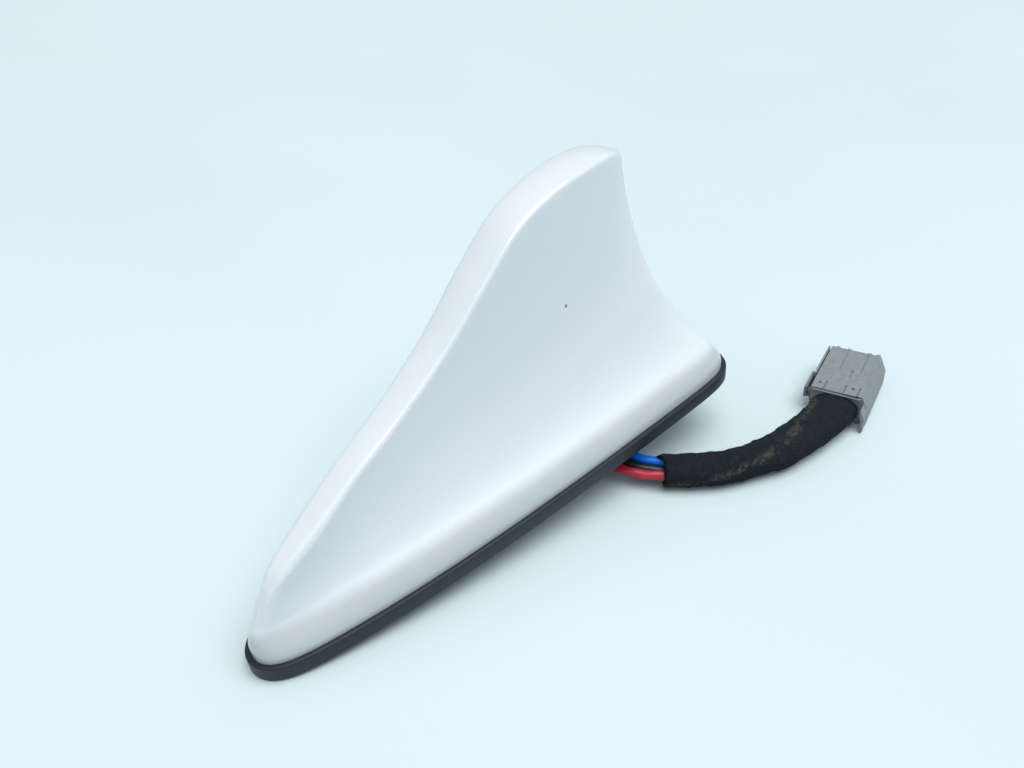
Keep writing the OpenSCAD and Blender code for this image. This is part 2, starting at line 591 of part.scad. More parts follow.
// Cloth sleeve round the wires. A second layer begins half way along, and from there the sleeve
// grows wider and flatter, up to the width of the connector.
layer_start = 15;
sleeve_end = [7.1, 3.5];
module cloth_sleeve() color([0.13, 0.15, 0.17]) {
  path = [for (i = [sleeve_start:len(lead) - 1]) lead[i]];
  n = len(path);
  m1 = layer_start - sleeve_start;
  a = [for (i = [0:n - 1]) i <= m1 ? sleeve_a : i == m1 + 1 ? sleeve_a + 0.5
    : sleeve_a + 1 + (sleeve_end[0] - sleeve_a - 1) * (i - m1 - 2) / (n - m1 - 3)];
  b = [for (i = [0:n - 1]) i == 0 ? sleeve_b - 0.4 : i == 1 ? sleeve_b - 0.2 : i <= m1 + 2 ? sleeve_b
    : sleeve_b + (sleeve_end[1] - sleeve_b) * (i - m1 - 2) / (n - m1 - 3)];
  sides = 12;
  outer = [for (i = [0:n - 1]) each ring(path, i, [0, 0, 1], a, b, sides)];
  in_a = [for (v = a) v - sleeve_t];
  in_b = [for (v = b) v - sleeve_t];
  inner = [for (i = [0:n - 1]) each ring(path, i, [0, 0, 1], in_a, in_b, sides)];
  m = n * sides;
  faces = concat(
    [for (i = [0:n - 2], k = [0:sides - 1]) let (q = (k + 1) % sides, p = i * sides, r = p + sides)
      each [[p + k, r + q, p + q], [p + k, r + k, r + q]]],
    [for (i = [0:n - 2], k = [0:sides - 1]) let (q = (k + 1) % sides, p = m + i * sides, r = p + sides)
      each [[p + k, p + q, r + q], [p + k, r + q, r + k]]],
    [for (k = [0:sides - 1]) let (q = (k + 1) % sides) each [[k, m + q, m + k], [k, q, m + q]]],
    [for (k = [0:sides - 1]) let (q = (k + 1) % sides, p = m - sides, r = 2 * m - sides)
      each [[p + k, r + k, r + q], [p + k, r + q, p + q]]]);
  polyhedron(concat(outer, inner), faces, convexity = 10);
}

// Connector, drawn along its own +X away from the sleeve and set down where the lead ends
plug_turn = 191.3;
table_tilt = 6.84;
plug_gap = 0.02;
module at_plug() translate(lead[len(lead) - 1]) rotate(plug_turn) rotate([0, table_tilt, 0])
  translate([plug_gap, 0, -plug_h / 2]) children();

cheek_l = 4.5;
flank_w = 2.2;
flank_h = 4.5;
groove_w = 0.5;
groove_d = 0.35;
rail_x = 8.5;
module connector_housing() color([0.56, 0.59, 0.6]) at_plug() {
  h = plug_w / 2;
  out = flank_w - 0.1;
  difference() {
    union() {
      // Body with one sloping flank, and the cheek with which the flank reaches beside the sleeve
      along_plug(0, plug_l)
        polygon([[h, 0], [h, plug_h], [-h, plug_h], [-h - flank_w, flank_h], [-h - flank_w, 0]]);
      along_plug(-cheek_l, 0.3) polygon([[-h - out, 0.1], [-h - out, flank_h],
        [-h - 0.7, plug_h - 1.8], [-h - 0.5, flank_h + 1.2], [-h - out + 0.9, flank_h - 1],
        [-h - out + 0.9, 0.1]]);
      // Rail beside the top, with a narrow channel between
      translate([rail_x, h - 0.1, 2.5]) cube([plug_l - rail_x, 1.2, plug_h - 4]);
      translate([rail_x, h + 0.5, plug_h - 2]) cube([plug_l - rail_x, 0.6, 1.8]);
      // Collar above the sleeve, and the ends of the ribs at the mating face
      translate([-0.5, -h + 0.3, plug_h - 0.95]) cube([1, plug_w - 0.6, 0.33]);
      for (y = [h - 2.4, 1.55, -4.7, -h + 0.2]) translate([plug_l - 0.5, y, plug_h - 2]) cube([1.4, 1.2, 1.9]);
    }
    for (k = [-1:1]) translate([5, k * cavity_pitch, plug_h / 2]) rotate([0, 90, 0])
      cylinder(r = cavity_r, h = plug_l + 5);
    for (g = [[13.5, 2.15, 20], [13.4, -4.1, 20], [9.2, -1.7, 4.8]])
      translate([g[0], g[1] - groove_w / 2, plug_h - groove_d]) cube([g[2], groove_w, groove_d + 1]);
    for (y = [3.7, -2.1, -6.2]) translate([-1, y, plug_h - 0.6]) cube([6, 0.4, 2]);
    for (p = [[3.35, 5.7], [3.7, -4.1]]) translate([p[0], p[1], plug_h - 1.5]) cylinder(r = 0.5, h = 3);
    translate([lock_x - gap, h - lock_w - gap, lock_z - gap])
      cube([lock_l + 2 * gap, 1 + lock_w, lock_h + 2 * gap]);
  }
}
module along_plug(from, to) translate([from, 0, 0]) rotate([90, 0, 90]) linear_extrude(to - from) children();

// Locking slide in the side of the housing, with the tab that a finger pushes
lock_x = 1.5;
lock_l = 6.5;
lock_w = 0.5;
lock_z = 3.2;
lock_h = 3;
module connector_lock() color([0.5, 0.53, 0.54]) at_plug() {
  y = plug_w / 2;
  translate([lock_x, y - lock_w, lock_z]) cube([lock_l, lock_w + 0.4, lock_h]);
  translate([lock_x - 0.9, y + 1.3, lock_z + 1.2]) cube([10, 0.8, lock_h + 0.5]);
  translate([lock_x + 0.7, y + 0.3, lock_z + 0.5]) cube([2.8, 1.1, lock_h - 0.9]);
}

// Coax contacts in the housing: an outer tube and its centre pin
module coax_contacts() color([0.85, 0.75, 0.45]) at_plug() for (k = [-1:1])
  translate([5, k * cavity_pitch, plug_h / 2]) rotate([0, 90, 0]) {
    difference() {
      cylinder(r = cavity_r, h = plug_l - 8);
      translate([0, 0, 4]) cylinder(r = cavity_r - 0.5, h = plug_l);
    }
    cylinder(r = 0.4, h = plug_l - 9);
  }

base_pad();
cover();
base_plate();
cover_screws();
cable_grommet();
main_board();
board_screws();
shield_frame();
shield_lid();
patch_pad();
patch_ceramic();
patch_electrode();
patch_pin();
amplifier_chips();
coil_carrier();
radio_coil();
top_load_plate();
coil_spring_clip();
phone_board();
phone_radiator();
earth_clip();
coax_ferrules();
inner_coax();
position_wire();
radio_wire();
phone_wire();
cloth_sleeve();
connector_housing();
connector_lock();
coax_contacts();
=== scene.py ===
"""Dresses a car roof antenna: camera, table and lamps, connector, lead, cover, pad and all finishes."""

import bmesh
import bpy
import numpy as np
from bpy.props import FloatProperty, FloatVectorProperty, PointerProperty
from mathutils import Matrix, Vector


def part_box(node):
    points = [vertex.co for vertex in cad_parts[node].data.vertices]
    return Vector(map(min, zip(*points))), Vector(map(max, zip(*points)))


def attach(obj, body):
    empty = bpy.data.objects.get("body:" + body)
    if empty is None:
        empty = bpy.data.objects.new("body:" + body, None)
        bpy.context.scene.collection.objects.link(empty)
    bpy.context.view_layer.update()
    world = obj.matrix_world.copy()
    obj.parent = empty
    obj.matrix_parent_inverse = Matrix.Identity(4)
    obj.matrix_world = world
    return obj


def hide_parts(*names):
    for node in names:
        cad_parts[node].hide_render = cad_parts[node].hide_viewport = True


bl_info = {
    "name": "Roof Antenna",
    "version": (1, 0, 0),
    "blender": (4, 5, 0),
    "location": "View3D > Sidebar > Antenna",
    "description": "Builds the cover, pad, lead and connector of a car roof antenna and their finishes",
    "category": "Object",
}

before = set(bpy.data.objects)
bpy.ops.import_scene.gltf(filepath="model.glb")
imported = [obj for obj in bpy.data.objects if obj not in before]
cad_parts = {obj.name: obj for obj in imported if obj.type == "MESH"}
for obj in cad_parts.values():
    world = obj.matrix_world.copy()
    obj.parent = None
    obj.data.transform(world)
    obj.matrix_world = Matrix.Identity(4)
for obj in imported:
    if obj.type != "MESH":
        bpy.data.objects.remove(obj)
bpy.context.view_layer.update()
MM = 0.001
BODY = "root"


def size_of(node):
    """Lowest and highest corner of a CAD node, in millimetres."""
    low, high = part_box(node)
    return np.array(low) / MM, np.array(high) / MM


PAD_LOW, PAD_HIGH = size_of("base_pad")
HALF_L = (PAD_HIGH[0] - PAD_LOW[0]) / 2
MID_X = (PAD_HIGH[0] + PAD_LOW[0]) / 2
HALF_W = (PAD_HIGH[1] - PAD_LOW[1]) / 2
LIP_H = PAD_HIGH[2]
FIN_H = size_of("cover")[1][2]


# Sizes and colours

def length_prop(name, description, default, low, high):
    """A length that a user can change between two limits, in metres."""
    return FloatProperty(name=name, description=description, default=default, min=low, max=high,
                         unit="LENGTH")


def colour_prop(name, description, default):
    """A colour that a user can change."""
    return FloatVectorProperty(name=name, description=description, default=default, min=0, max=1,
                               subtype="COLOR")


class CoverSettings(bpy.types.PropertyGroup):
    wall: length_prop("Wall", "Thickness of the cover's wall", 0.0022, 0.0018, 0.0024)
    shoulder_h: length_prop("Shoulder height", "From the roof up to the shoulder", 0.013, 0.012, 0.0145)
    tail_drop: length_prop("Tail drop", "Drop of the shoulder at the tail", 0.0014, 0.001, 0.002)
    shoulder_in: length_prop("Shoulder inset", "From the foot in to the shoulder", 0.0047, 0.004, 0.0052)
    edge_solid: length_prop("Edge depth", "Solid depth behind the trailing edge", 0.006, 0.005, 0.007)
    paint: colour_prop("Paint", "White of the pearl paint", (0.79, 0.84, 0.89))
    dirt: colour_prop("Dirt", "Colour of the dust specks", (0.16, 0.15, 0.14))
    # Painted shade: how bright the paint stays on the skirt below the shoulder, standing in for the shade
    # there
    dust_film_and_shade: FloatProperty(name="Skirt_shade", description="How bright the paint is under the film on the skirt",
                        default=0.74, min=0, max=1, subtype="FACTOR")
    chip_at: FloatVectorProperty(name="Chip", description="Place of the chip in the paint",
                                 default=(-0.0228, 0.0093, 0.0425), subtype="TRANSLATION")


class PadSettings(bpy.types.PropertyGroup):
    lip_t: length_prop("Lip", "Thickness of the pad's lip", 0.0013, 0.001, 0.0016)
    floor_t: length_prop("Floor", "Thickness of the pad's floor", 0.0018, 0.0014, 0.002)
    band_w: length_prop("Band", "Width of the sealing band round the underside", 0.008, 0.007, 0.01)
    pocket_d: length_prop("Pockets", "Depth of the pockets under the pad", 0.0009, 0.0004, 0.001)
    rubber: colour_prop("Rubber", "Blue-black of the rubber", (0.007, 0.0145, 0.021))


class LeadSettings(bpy.types.PropertyGroup):
    wire_d: length_prop("Wire", "Diameter of one coax wire", 0.0028, 0.0024, 0.003)
    sleeve_w: length_prop("Sleeve width", "Width of the sleeve at its open end", 0.0102, 0.0098, 0.0108)
    sleeve_h: length_prop("Sleeve height", "Height of the sleeve at its open end", 0.009, 0.0086, 0.0094)
    end_w: length_prop("End width", "Width of the sleeve at the connector", 0.0142, 0.013, 0.0144)
    end_h: length_prop("End height", "Height of the sleeve at the connector", 0.007, 0.0066, 0.0078)
    sleeve_t: length_prop("Sleeve wall", "Thickness of the cloth", 0.0008, 0.0005, 0.0009)
    blue: colour_prop("Blue", "Jacket of the wire for position signals", (0.0, 0.19, 0.95))
    black: colour_prop("Black", "Jacket of the radio antenna's wire", (0.012, 0.012, 0.014))
    red: colour_prop("Red", "Jacket of the phone antenna's wire", (0.50, 0.022, 0.045))
    cloth: colour_prop("Cloth", "Black of the woven sleeve", (0.010, 0.015, 0.021))
    dust: colour_prop("Dust", "Dust worn into the sleeve's crest", (0.085, 0.08, 0.062))


class ConnectorSettings(bpy.types.PropertyGroup):
    edge: length_prop("Edge", "Radius of the moulded edges", 0.00022, 0.0001, 0.0004)
    housing: colour_prop("Housing", "Grey of the housing", (0.235, 0.265, 0.275))
    lock: colour_prop("Lock", "Grey of the locking slide", (0.165, 0.185, 0.195))


class StageSettings(bpy.types.PropertyGroup):
    slope: FloatProperty(name="Slope", description="Rise of the table for each unit along X",
                         default=0.1211, min=0.0, max=0.3)
    contact_x: FloatProperty(name="Contact", description="Place along X where the nose rests on the table",
                             default=0.0821, unit="LENGTH")
    table: colour_prop("Table", "Colour of the table", (0.665, 0.785, 0.812))
    lens: FloatProperty(name="Lens", description="Focal length for a 36 mm sensor",
                        default=33.14, min=20, max=100)
    bounce: FloatProperty(name="Bounce", description="Share of the table's colour that lights the antenna",
                          default=0.6, min=0, max=1, subtype="FACTOR")
    sky: FloatProperty(name="Sky", description="Strength of the even light from all sides",
                       default=0.5, min=0, max=2)
    key: FloatProperty(name="Key lamp", description="Power of the large lamp high above the left side",
                       default=690.0, min=0, max=2000, unit="POWER")
    overhead: FloatProperty(name="Overhead lamp", description="Power of the small lamp above the nose",
                            default=0.7, min=0, max=20, unit="POWER")


SETTINGS = {
    "antenna_cover": CoverSettings,
    "antenna_pad": PadSettings,
    "antenna_lead": LeadSettings,
    "antenna_connector": ConnectorSettings,
    "antenna_stage": StageSettings,
}


# Shader maths

class Socket:
    """One output socket of a finish. Arithmetic on it adds Math nodes."""

    def __init__(self, finish, out):
        self.finish = finish
        self.out = out

    def calc(self, operation, *values):
        return self.finish.add("ShaderNodeMath", {"operation": operation}, dict(enumerate(values)))

    def __add__(self, other):
        return self.calc("ADD", self, other)

    def __sub__(self, other):
        return self.calc("SUBTRACT", self, other)

    def __rsub__(self, other):
        return self.calc("SUBTRACT", other, self)

    def __mul__(self, other):
        return self.calc("MULTIPLY", self, other)

    __radd__ = __add__
    __rmul__ = __mul__

    def between(self, low, high):
        """0 below low, 1 above high and a smooth step between them."""
        return self.finish.add("ShaderNodeMapRange", {"interpolation_type": "SMOOTHSTEP"},
                               {"Value": self, "From Min": low, "From Max": high})

    def most(self, other):
        return self.calc("MAXIMUM", self, other)

    def least(self, other):
        return self.calc("MINIMUM", self, other)

    def sine(self):
        return self.calc("SINE", self)

    def size(self):
        """The value without its sign."""
        return self.calc("ABSOLUTE", self)


class Finish:
    """A material with one Principled shader and the nodes that vary it."""

    def __init__(self, name, **values):
        self.material = bpy.data.materials.new(name)
        self.material.use_nodes = True
        self.tree = self.material.node_tree
        self.shader = self.tree.nodes["Principled BSDF"]
        self.set(**values)

    def add(self, kind, settings=None, inputs=None, output=0):
        """Adds a node: its settings first, then the values or links of its sockets."""
        node = self.tree.nodes.new(kind)
        for key, value in (settings or {}).items():
            setattr(node, key, value)
        for key, value in (inputs or {}).items():
            self.join(node.inputs[key], value)
        return Socket(self, node.outputs[output])

    def join(self, socket, value):
        if isinstance(value, Socket):
            self.tree.links.new(value.out, socket)
        elif socket.type == "RGBA" and len(value) == 3:
            socket.default_value = (*value, 1.0)
        else:
            socket.default_value = value

    def set(self, **values):
        """Shader sockets by name, written with underscores in place of spaces."""
        for key, value in values.items():
            self.join(self.shader.inputs[key.replace("_", " ").title().replace("Ior", "IOR")], value)
        return self

    def place(self, output="Object"):
        """Object coordinates, or the piece's own UV map."""
        return self.add("ShaderNodeTexCoord", output=output)

    def scaled(self, vector, by):
        return self.add("ShaderNodeVectorMath", {"operation": "MULTIPLY"}, {0: vector, 1: by})

    def noise(self, size, detail=3.0, rough=0.55, stretch=(1, 1, 1), at="Object"):
        """Noise from 0 to 1 whose grains are about size metres across."""
        vector = self.scaled(self.place(at), tuple(s / size for s in stretch))
        return self.add("ShaderNodeTexNoise", None,
                        {"Vector": vector, "Scale": 1.0, "Detail": detail, "Roughness": rough})

    def specks(self, pitch, radius, share):
        """1 in small round specks, in that share of the cells of the pitch, and 0 elsewhere."""
        vector = self.scaled(self.place(), (1 / pitch,) * 3)
        gap = self.add("ShaderNodeTexVoronoi", None, {"Vector": vector, "Scale": 1.0})
        pick = self.add("ShaderNodeTexVoronoi", None, {"Vector": vector, "Scale": 1.0}, "Color")
        chance = self.add("ShaderNodeSeparateColor", None, {"Color": pick})
        spot = 1 - gap.between(radius / pitch * 0.6, radius / pitch)
        return spot * chance.between(1 - share, 1.02 - share)

    def mix(self, factor, a, b):
        """Colour a where the factor is 0 and colour b where it is 1."""
        return self.add("ShaderNodeMix", {"data_type": "RGBA"}, {"Factor": factor, 6: a, 7: b}, 2)

    def bump(self, height, depth):
        """Tilts the normal as for a relief that is depth metres high where the height is 1."""
        relief = {"Height": height, "Distance": depth, "Strength": 1.0}
        return self.set(normal=self.add("ShaderNodeBump", None, relief))


def shade(colour, by, more=0.0):
    """A colour made darker or lighter by one factor, with the same amount added to each channel."""
    return tuple(min(1.0, c * by + more) for c in colour)


# Meshes

def new_piece(name, points, faces, finish, uv=None):
    """A smooth piece from points in millimetres and an array of quads."""
    return finished_piece(name, quad_mesh(name, points, faces, uv), finish)


def quad_mesh(name, points, faces, uv=None):
    """A mesh of quads. Points that meet are merged, and the faces are turned outwards."""
    mesh = bpy.data.meshes.new(name)
    mesh.vertices.add(len(points))
    mesh.vertices.foreach_set("co", np.float32(np.asarray(points) * MM).ravel())
    mesh.loops.add(faces.size)
    mesh.loops.foreach_set("vertex_index", np.int32(faces).ravel())
    mesh.polygons.add(len(faces))
    mesh.polygons.foreach_set("loop_start", np.arange(0, faces.size, 4, dtype=np.int32))
    mesh.update(calc_edges=True)
    if uv is not None:
        layer = mesh.uv_layers.new(name="route")
        layer.data.foreach_set("uv", np.float32(uv[faces.ravel()]).ravel())
    work = bmesh.new()
    work.from_mesh(mesh)
    bmesh.ops.remove_doubles(work, verts=work.verts, dist=1e-7)
    bmesh.ops.dissolve_degenerate(work, dist=1e-7, edges=work.edges)
    bmesh.ops.recalc_face_normals(work, faces=work.faces)
    work.to_mesh(mesh)
    work.free()
    mesh.polygons.foreach_set("use_smooth", np.ones(len(mesh.polygons), bool))
    return mesh


def finished_piece(name, mesh, finish):
    """Puts a mesh in the scene as a piece of the antenna."""
    piece = bpy.data.objects.new(name, mesh)
    bpy.context.scene.collection.objects.link(piece)
    piece.data.materials.append(finish.material)
    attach(piece, BODY)
    return piece


def ring_at(x, y, z, r, sides=24):
    """Points of a level circle."""
    t = np.linspace(0, 2 * np.pi, sides, endpoint=False)
    return np.column_stack([x + r * np.cos(t), y + r * np.sin(t), np.full(sides, z)])


def raised(outline, low, high):
    """Lower and upper outline of an upright prism."""
    return [np.column_stack([outline, np.full(len(outline), z)]) for z in (low, high)]


def box_at(low, high):
    """Lower and upper outline of an upright box between two corners."""
    x, y = [low[0], high[0], high[0], low[0]], [low[1], low[1], high[1], high[1]]
    return raised(np.column_stack([x, y]), low[2], high[2])


def solid_of(prisms):
    """One mesh of closed prisms, each from a lower and an upper outline with as many points."""
    points, faces, start = [], [], 0
    for low, high in prisms:
        n = len(low)
        ring = start + np.arange(n)
        after = np.roll(ring, -1)
        points += [low, high]
        faces += [ring[::-1], ring + n, *np.column_stack([ring, after, after + n, ring + n])]
        start += 2 * n
    mesh = bpy.data.meshes.new("tool")
    mesh.from_pydata((np.concatenate(points) * MM).tolist(), [], [face.tolist() for face in faces])
    return loose_object(mesh)


def loose_object(mesh):
    thing = bpy.data.objects.new("tool", mesh)
    bpy.context.scene.collection.objects.link(thing)
    return thing


def cut_by(thing, tools, sharp=None):
    """Takes the tools away from a thing, one after the other, and deletes them."""
    for tool in tools:
        cut = thing.modifiers.new("cut", "BOOLEAN")
        cut.operation = "DIFFERENCE"
        cut.solver = "MANIFOLD"
        cut.object = tool
    bake(thing)
    for tool in tools:
        bpy.data.objects.remove(tool)
    if sharp:
        thing.data.set_sharp_from_angle(angle=np.radians(sharp))
    return thing


def bake(thing):
    """Applies the modifiers of a thing to its mesh."""
    scene = bpy.context.evaluated_depsgraph_get()
    mesh = bpy.data.meshes.new_from_object(thing.evaluated_get(scene))
    thing.modifiers.clear()
    thing.data = mesh


def grid_faces(rows, cols, wrap_cols=False, wrap_rows=False):
    """Quads of a grid numbered row by row. Wrapping joins the last row or column to the first."""
    r = np.arange(rows if wrap_rows else rows - 1)[:, None]
    c = np.arange(cols if wrap_cols else cols - 1)[None, :]
    up, on = (r + 1) % rows, (c + 1) % cols
    return np.stack([r * cols + c, r * cols + on, up * cols + on, up * cols + c], -1).reshape(-1, 4)


def unit(v):
    return v / np.maximum(np.linalg.norm(v, axis=-1, keepdims=True), 1e-12)


def smooth_step(low, high, x):
    """0 below low, 1 above high and a smooth step between them."""
    u = np.clip((x - low) / (high - low), 0, 1)
    return u * u * (3 - 2 * u)


def bezier(p0, p1, p2, p3, u):
    """Cubic curve from p0 to p3 with the handles p1 and p2, at each value of u, for many curves at once."""
    u = np.asarray(u)[:, None, None]
    v = 1 - u
    return v ** 3 * p0 + 3 * v * v * u * p1 + 3 * v * u * u * p2 + u ** 3 * p3


def along(points, per):
    """A smooth line through the points, with per pieces between two of them. Each piece is a cubic
    whose slope at a point is half the way from the point before to the one after."""
    points = np.asarray(points, float)
    slopes = np.gradient(points, axis=0)
    u = np.arange(per)[:, None] / per
    h0, h1 = 2 * u ** 3 - 3 * u ** 2 + 1, u ** 3 - 2 * u ** 2 + u
    parts = [h0 * p + h1 * m + (1 - h0) * q + (u ** 3 - u ** 2) * n
             for p, q, m, n in zip(points, points[1:], slopes, slopes[1:])]
    return np.concatenate(parts + [points[-1:]])


# The plan outline of the solids, and the fin by the same rules with a rounder nose and trailing edge.
# Angles go round the plan: 0 is the nose and 180 degrees the tail.
NOSE_FULL = 0.36
NOSE_REACH = 0.045
TAIL_SQUARE = 38


def plan_raw(a):
    """Half width before scaling: the sine of half the angle, fuller at the nose, closed round the tail."""
    t = (1 - np.cos(a)) / 2
    nose = 1 + NOSE_FULL * np.exp(-t / NOSE_REACH)
    return np.abs(np.sin(a / 2)) * nose * np.sqrt(np.maximum(0, 1 - t ** TAIL_SQUARE))


PLAN_MAX = plan_raw(np.radians(np.arange(100, 171))).max()


def plan_point(a):
    y = HALF_W * plan_raw(a) / PLAN_MAX * np.where(np.sin(a) < 0, -1, 1)
    return np.stack([MID_X + HALF_L * np.cos(a), y], -1)


def plan_normal(a):
    """Outward normal of the outline, from the points a little before and after the angle."""
    step = np.radians(0.4)
    d = plan_point(a + step) - plan_point(a - step)
    return unit(np.stack([d[..., 1], -d[..., 0]], -1))


def plan_in(a, inset):
    return plan_point(a) - inset * plan_normal(a)


# Side view of the fin: angle round the plan in degrees, place along X and height as shares of the half
# length and the fin's height, half width of the ridge band and rounding of its edges in millimetres
SPINE = np.array([
    [0, 0.893, 0.270, 0.0, 0.0], [8, 0.878, 0.288, 1.4, 1.0], [20, 0.830, 0.329, 2.9, 1.9],
    [35, 0.713, 0.393, 3.9, 1.8], [50, 0.544, 0.483, 4.0, 1.3], [65, 0.337, 0.578, 4.3, 1.1],
    [78, 0.139, 0.690, 4.7, 1.0], [90, -0.051, 0.834, 5.2, 1.0], [100, -0.211, 0.943, 5.4, 1.0],
    [110, -0.371, 0.989, 5.8, 1.0], [120, -0.521, 1.000, 6.2, 1.0], [130, -0.654, 0.990, 5.8, 1.1],
    [138, -0.743, 0.962, 4.4, 1.4], [141, -0.770, 0.935, 3.2, 1.3], [144, -0.781, 0.886, 2.5, 1.2],
    [148, -0.795, 0.770, 2.2, 1.3], [153, -0.831, 0.633, 2.1, 1.4], [158, -0.872, 0.508, 2.1, 1.4],
    [163, -0.911, 0.392, 2.1, 1.4], [168, -0.940, 0.297, 2.0, 1.3], [174, -0.962, 0.241, 1.6, 1.1],
    [180, -0.966, 0.216, 0.0, 0.0]])
GAP = 0.1
# Share of the ridge's half width by which its crown rises
CROWN = 0.12
# Inset of the shoulder at the nose and how much it loses at the tail, as shares of its inset at the side
NOSE_IN = 0.48
TAIL_OUT = 0.24
# Share of the wall by which the shoulder lies lower on the inside, and least half width of the hollow
INNER_DROP = 0.7
HOLLOW_MIN = 0.6
# Rise of the flank in degrees where it leaves the shoulder and where it meets the ridge
FLANK_START = 38
FLANK_END = 84
TAIL_STEEPER = 3
# Handles of the curves: the skirt's as a share of its height, the flank's as shares of its length
SKIRT_PULL = 0.45
START_PULL = 0.25
END_PULL = 0.32
# Angles between which the curves change: the shoulder's inset at the nose and at the tail, the flank's
# straight start, its steeper end and its turn at both poles, and the solid depth behind the edge
NOSE_SPAN = (0, 40)
TAIL_SPAN = (138, 176)
STRAIGHT_SPAN = (8, 44)
STEEP_SPAN = (120, 145)
POLE_SPAN = (4, 30)
SOLID_SPAN = (135, 145)
# Angle over which the hollow narrows at both ends
HOLLOW_SPAN = 10
# Points on the skirt, the flank, the ridge's edge and its crown
SKIRT_N, FLANK_N, EDGE_N, CROWN_N = 15, 49, 8, 7
UP = np.array([0, 0, 1.0])
SIDEWAYS = np.array([0, 1.0, 0])


def column(a, c):
    """One column of the side view at the angles a: cubic pieces with mean slopes."""
    at, value = SPINE[:, 0], SPINE[:, c]
    low = np.maximum(np.arange(len(at)) - 1, 0)
    high = np.minimum(np.arange(len(at)) + 1, len(at) - 1)
    slope = (value[high] - value[low]) / (at[high] - at[low])
    i = np.clip(np.searchsorted(at, a, side="right") - 1, 0, len(at) - 2)
    h = at[i + 1] - at[i]
    u = (a - at[i]) / h
    return (value[i] * (1 + 2 * u) * (1 - u) ** 2 + slope[i] * h * u * (1 - u) ** 2
            + value[i + 1] * u * u * (3 - 2 * u) - slope[i + 1] * h * u * u * (1 - u))


def spine_point(a):
    return np.stack([MID_X + HALF_L * column(a, 1), 0 * a, FIN_H * column(a, 2)], -1)


def fin_curves(a, deep, s):
    """Cross curves of the cover at the angles a, as levels x angles x 3 in millimetres. Each goes from
    the foot up the skirt to the shoulder's knee, up the hollow flank, round the ridge's edge and over its
    crown. The skirt and the flank are cubic curves that share one direction at the knee, the edge is a
    quadratic curve and the crown a parabola. Near the nose the flank starts straight towards the ridge.
    deep is 0 on the outside and 1 on the inside of the wall."""
    wall, shoulder_in = s.wall / MM, s.shoulder_in / MM
    lip_t = bpy.context.scene.antenna_pad.lip_t / MM
    rad = np.radians(a)
    skin = deep * (wall + (s.edge_solid / MM - wall) * smooth_step(*SOLID_SPAN, a))[:, None]
    out = plan_normal(rad)
    foot = np.column_stack([plan_in(rad, lip_t + GAP + deep * wall), np.full(len(a), LIP_H - GAP)])
    back = smooth_step(*TAIL_SPAN, a)
    lean = shoulder_in * (NOSE_IN + (1 - NOSE_IN) * smooth_step(*NOSE_SPAN, a) - TAIL_OUT * back)
    knee_z = (s.shoulder_h - s.tail_drop * back) / MM - INNER_DROP * deep * wall
    knee = foot + np.column_stack([-out * lean[:, None], knee_z - foot[:, 2]])
    near_end = np.minimum(1, np.minimum(a, 180 - a) / HOLLOW_SPAN)
    half = np.maximum(column(a, 3) - deep * wall, deep * HOLLOW_MIN * near_end)[:, None]
    cut = column(a, 4)[:, None] * (1 - 0.5 * deep)
    way = unit(spine_point(np.minimum(a + 0.5, 180)) - spine_point(np.maximum(a - 0.5, 0)))
    normal = np.column_stack([way[:, 2], 0 * a, -way[:, 0]])
    peak = spine_point(a) - skin * normal
    edge = peak + half * SIDEWAYS - CROWN * half * normal
    run = edge - knee
    flat = run * [1, 1, 0]
    reach = np.linalg.norm(run, axis=1)[:, None]
    over = flat / np.maximum(np.linalg.norm(flat, axis=1), 0.01)[:, None]
    ahead = np.where((a < 90)[:, None], way, -way)
    pole = 1 - smooth_step(*POLE_SPAN, np.minimum(a, 180 - a))[:, None]
    straight = (1 - smooth_step(*STRAIGHT_SPAN, a))[:, None]
    steep = np.arctan2(run[:, 2:3], np.linalg.norm(flat, axis=1)[:, None])
    rise = np.radians(FLANK_START) * (1 - straight) + steep * straight
    start = unit(over * np.cos(rise) + UP * np.sin(rise))
    climb = np.radians(FLANK_END + TAIL_STEEPER * smooth_step(*STEEP_SPAN, a))[:, None]
    finish = unit((1 - pole) * (over * np.cos(climb) + UP * np.sin(climb)) + pole * ahead)
    lift = SKIRT_PULL * (knee - foot)[:, 2:3]
    trim = np.minimum(cut, half / 2)
    below = edge - np.minimum(cut, half) * finish
    above = edge - trim * SIDEWAYS + trim * 2 * CROWN * normal
    wall_foot = foot * [1, 1, 0] + UP * (pad_floor() + GAP)
    skirt = bezier(foot, foot + lift * UP, knee - lift * start, knee, np.linspace(0, 1, SKIRT_N))
    flank = bezier(knee, knee + START_PULL * reach * start, below - END_PULL * reach * finish, below,
                   np.linspace(0, 1, FLANK_N)[1:])
    u = np.linspace(0, 1, EDGE_N)[1:, None, None]
    corner = (1 - u) ** 2 * below + 2 * u * (1 - u) * edge + u * u * above
    share = 1 - np.linspace(0, 1, CROWN_N)[1:, None, None]
    top = peak + share * above[:, 1:2] * SIDEWAYS - (peak - above) * [1, 0, 1] * share ** 2
    return np.concatenate([wall_foot[None], foot[None], skirt[1:], flank, corner, top])


def pad_floor():
    return bpy.context.scene.antenna_pad.floor_t / MM


def stations(fine=1):
    """Angles of the cross curves, closer together round the fin's top corner and at both ends."""
    stretches = ((0, 10, 20), (10, 130, 160), (130, 150, 60), (150, 170, 40), (170, 180, 20))
    parts = [np.linspace(low, high, n // fine + 1) for low, high, n in stretches]
    return np.unique(np.concatenate(parts).round(6))


def half_w(x):
    """Half width of the pad at a place along X."""
    return plan_point(np.arccos((x - MID_X) / HALF_L))[1]


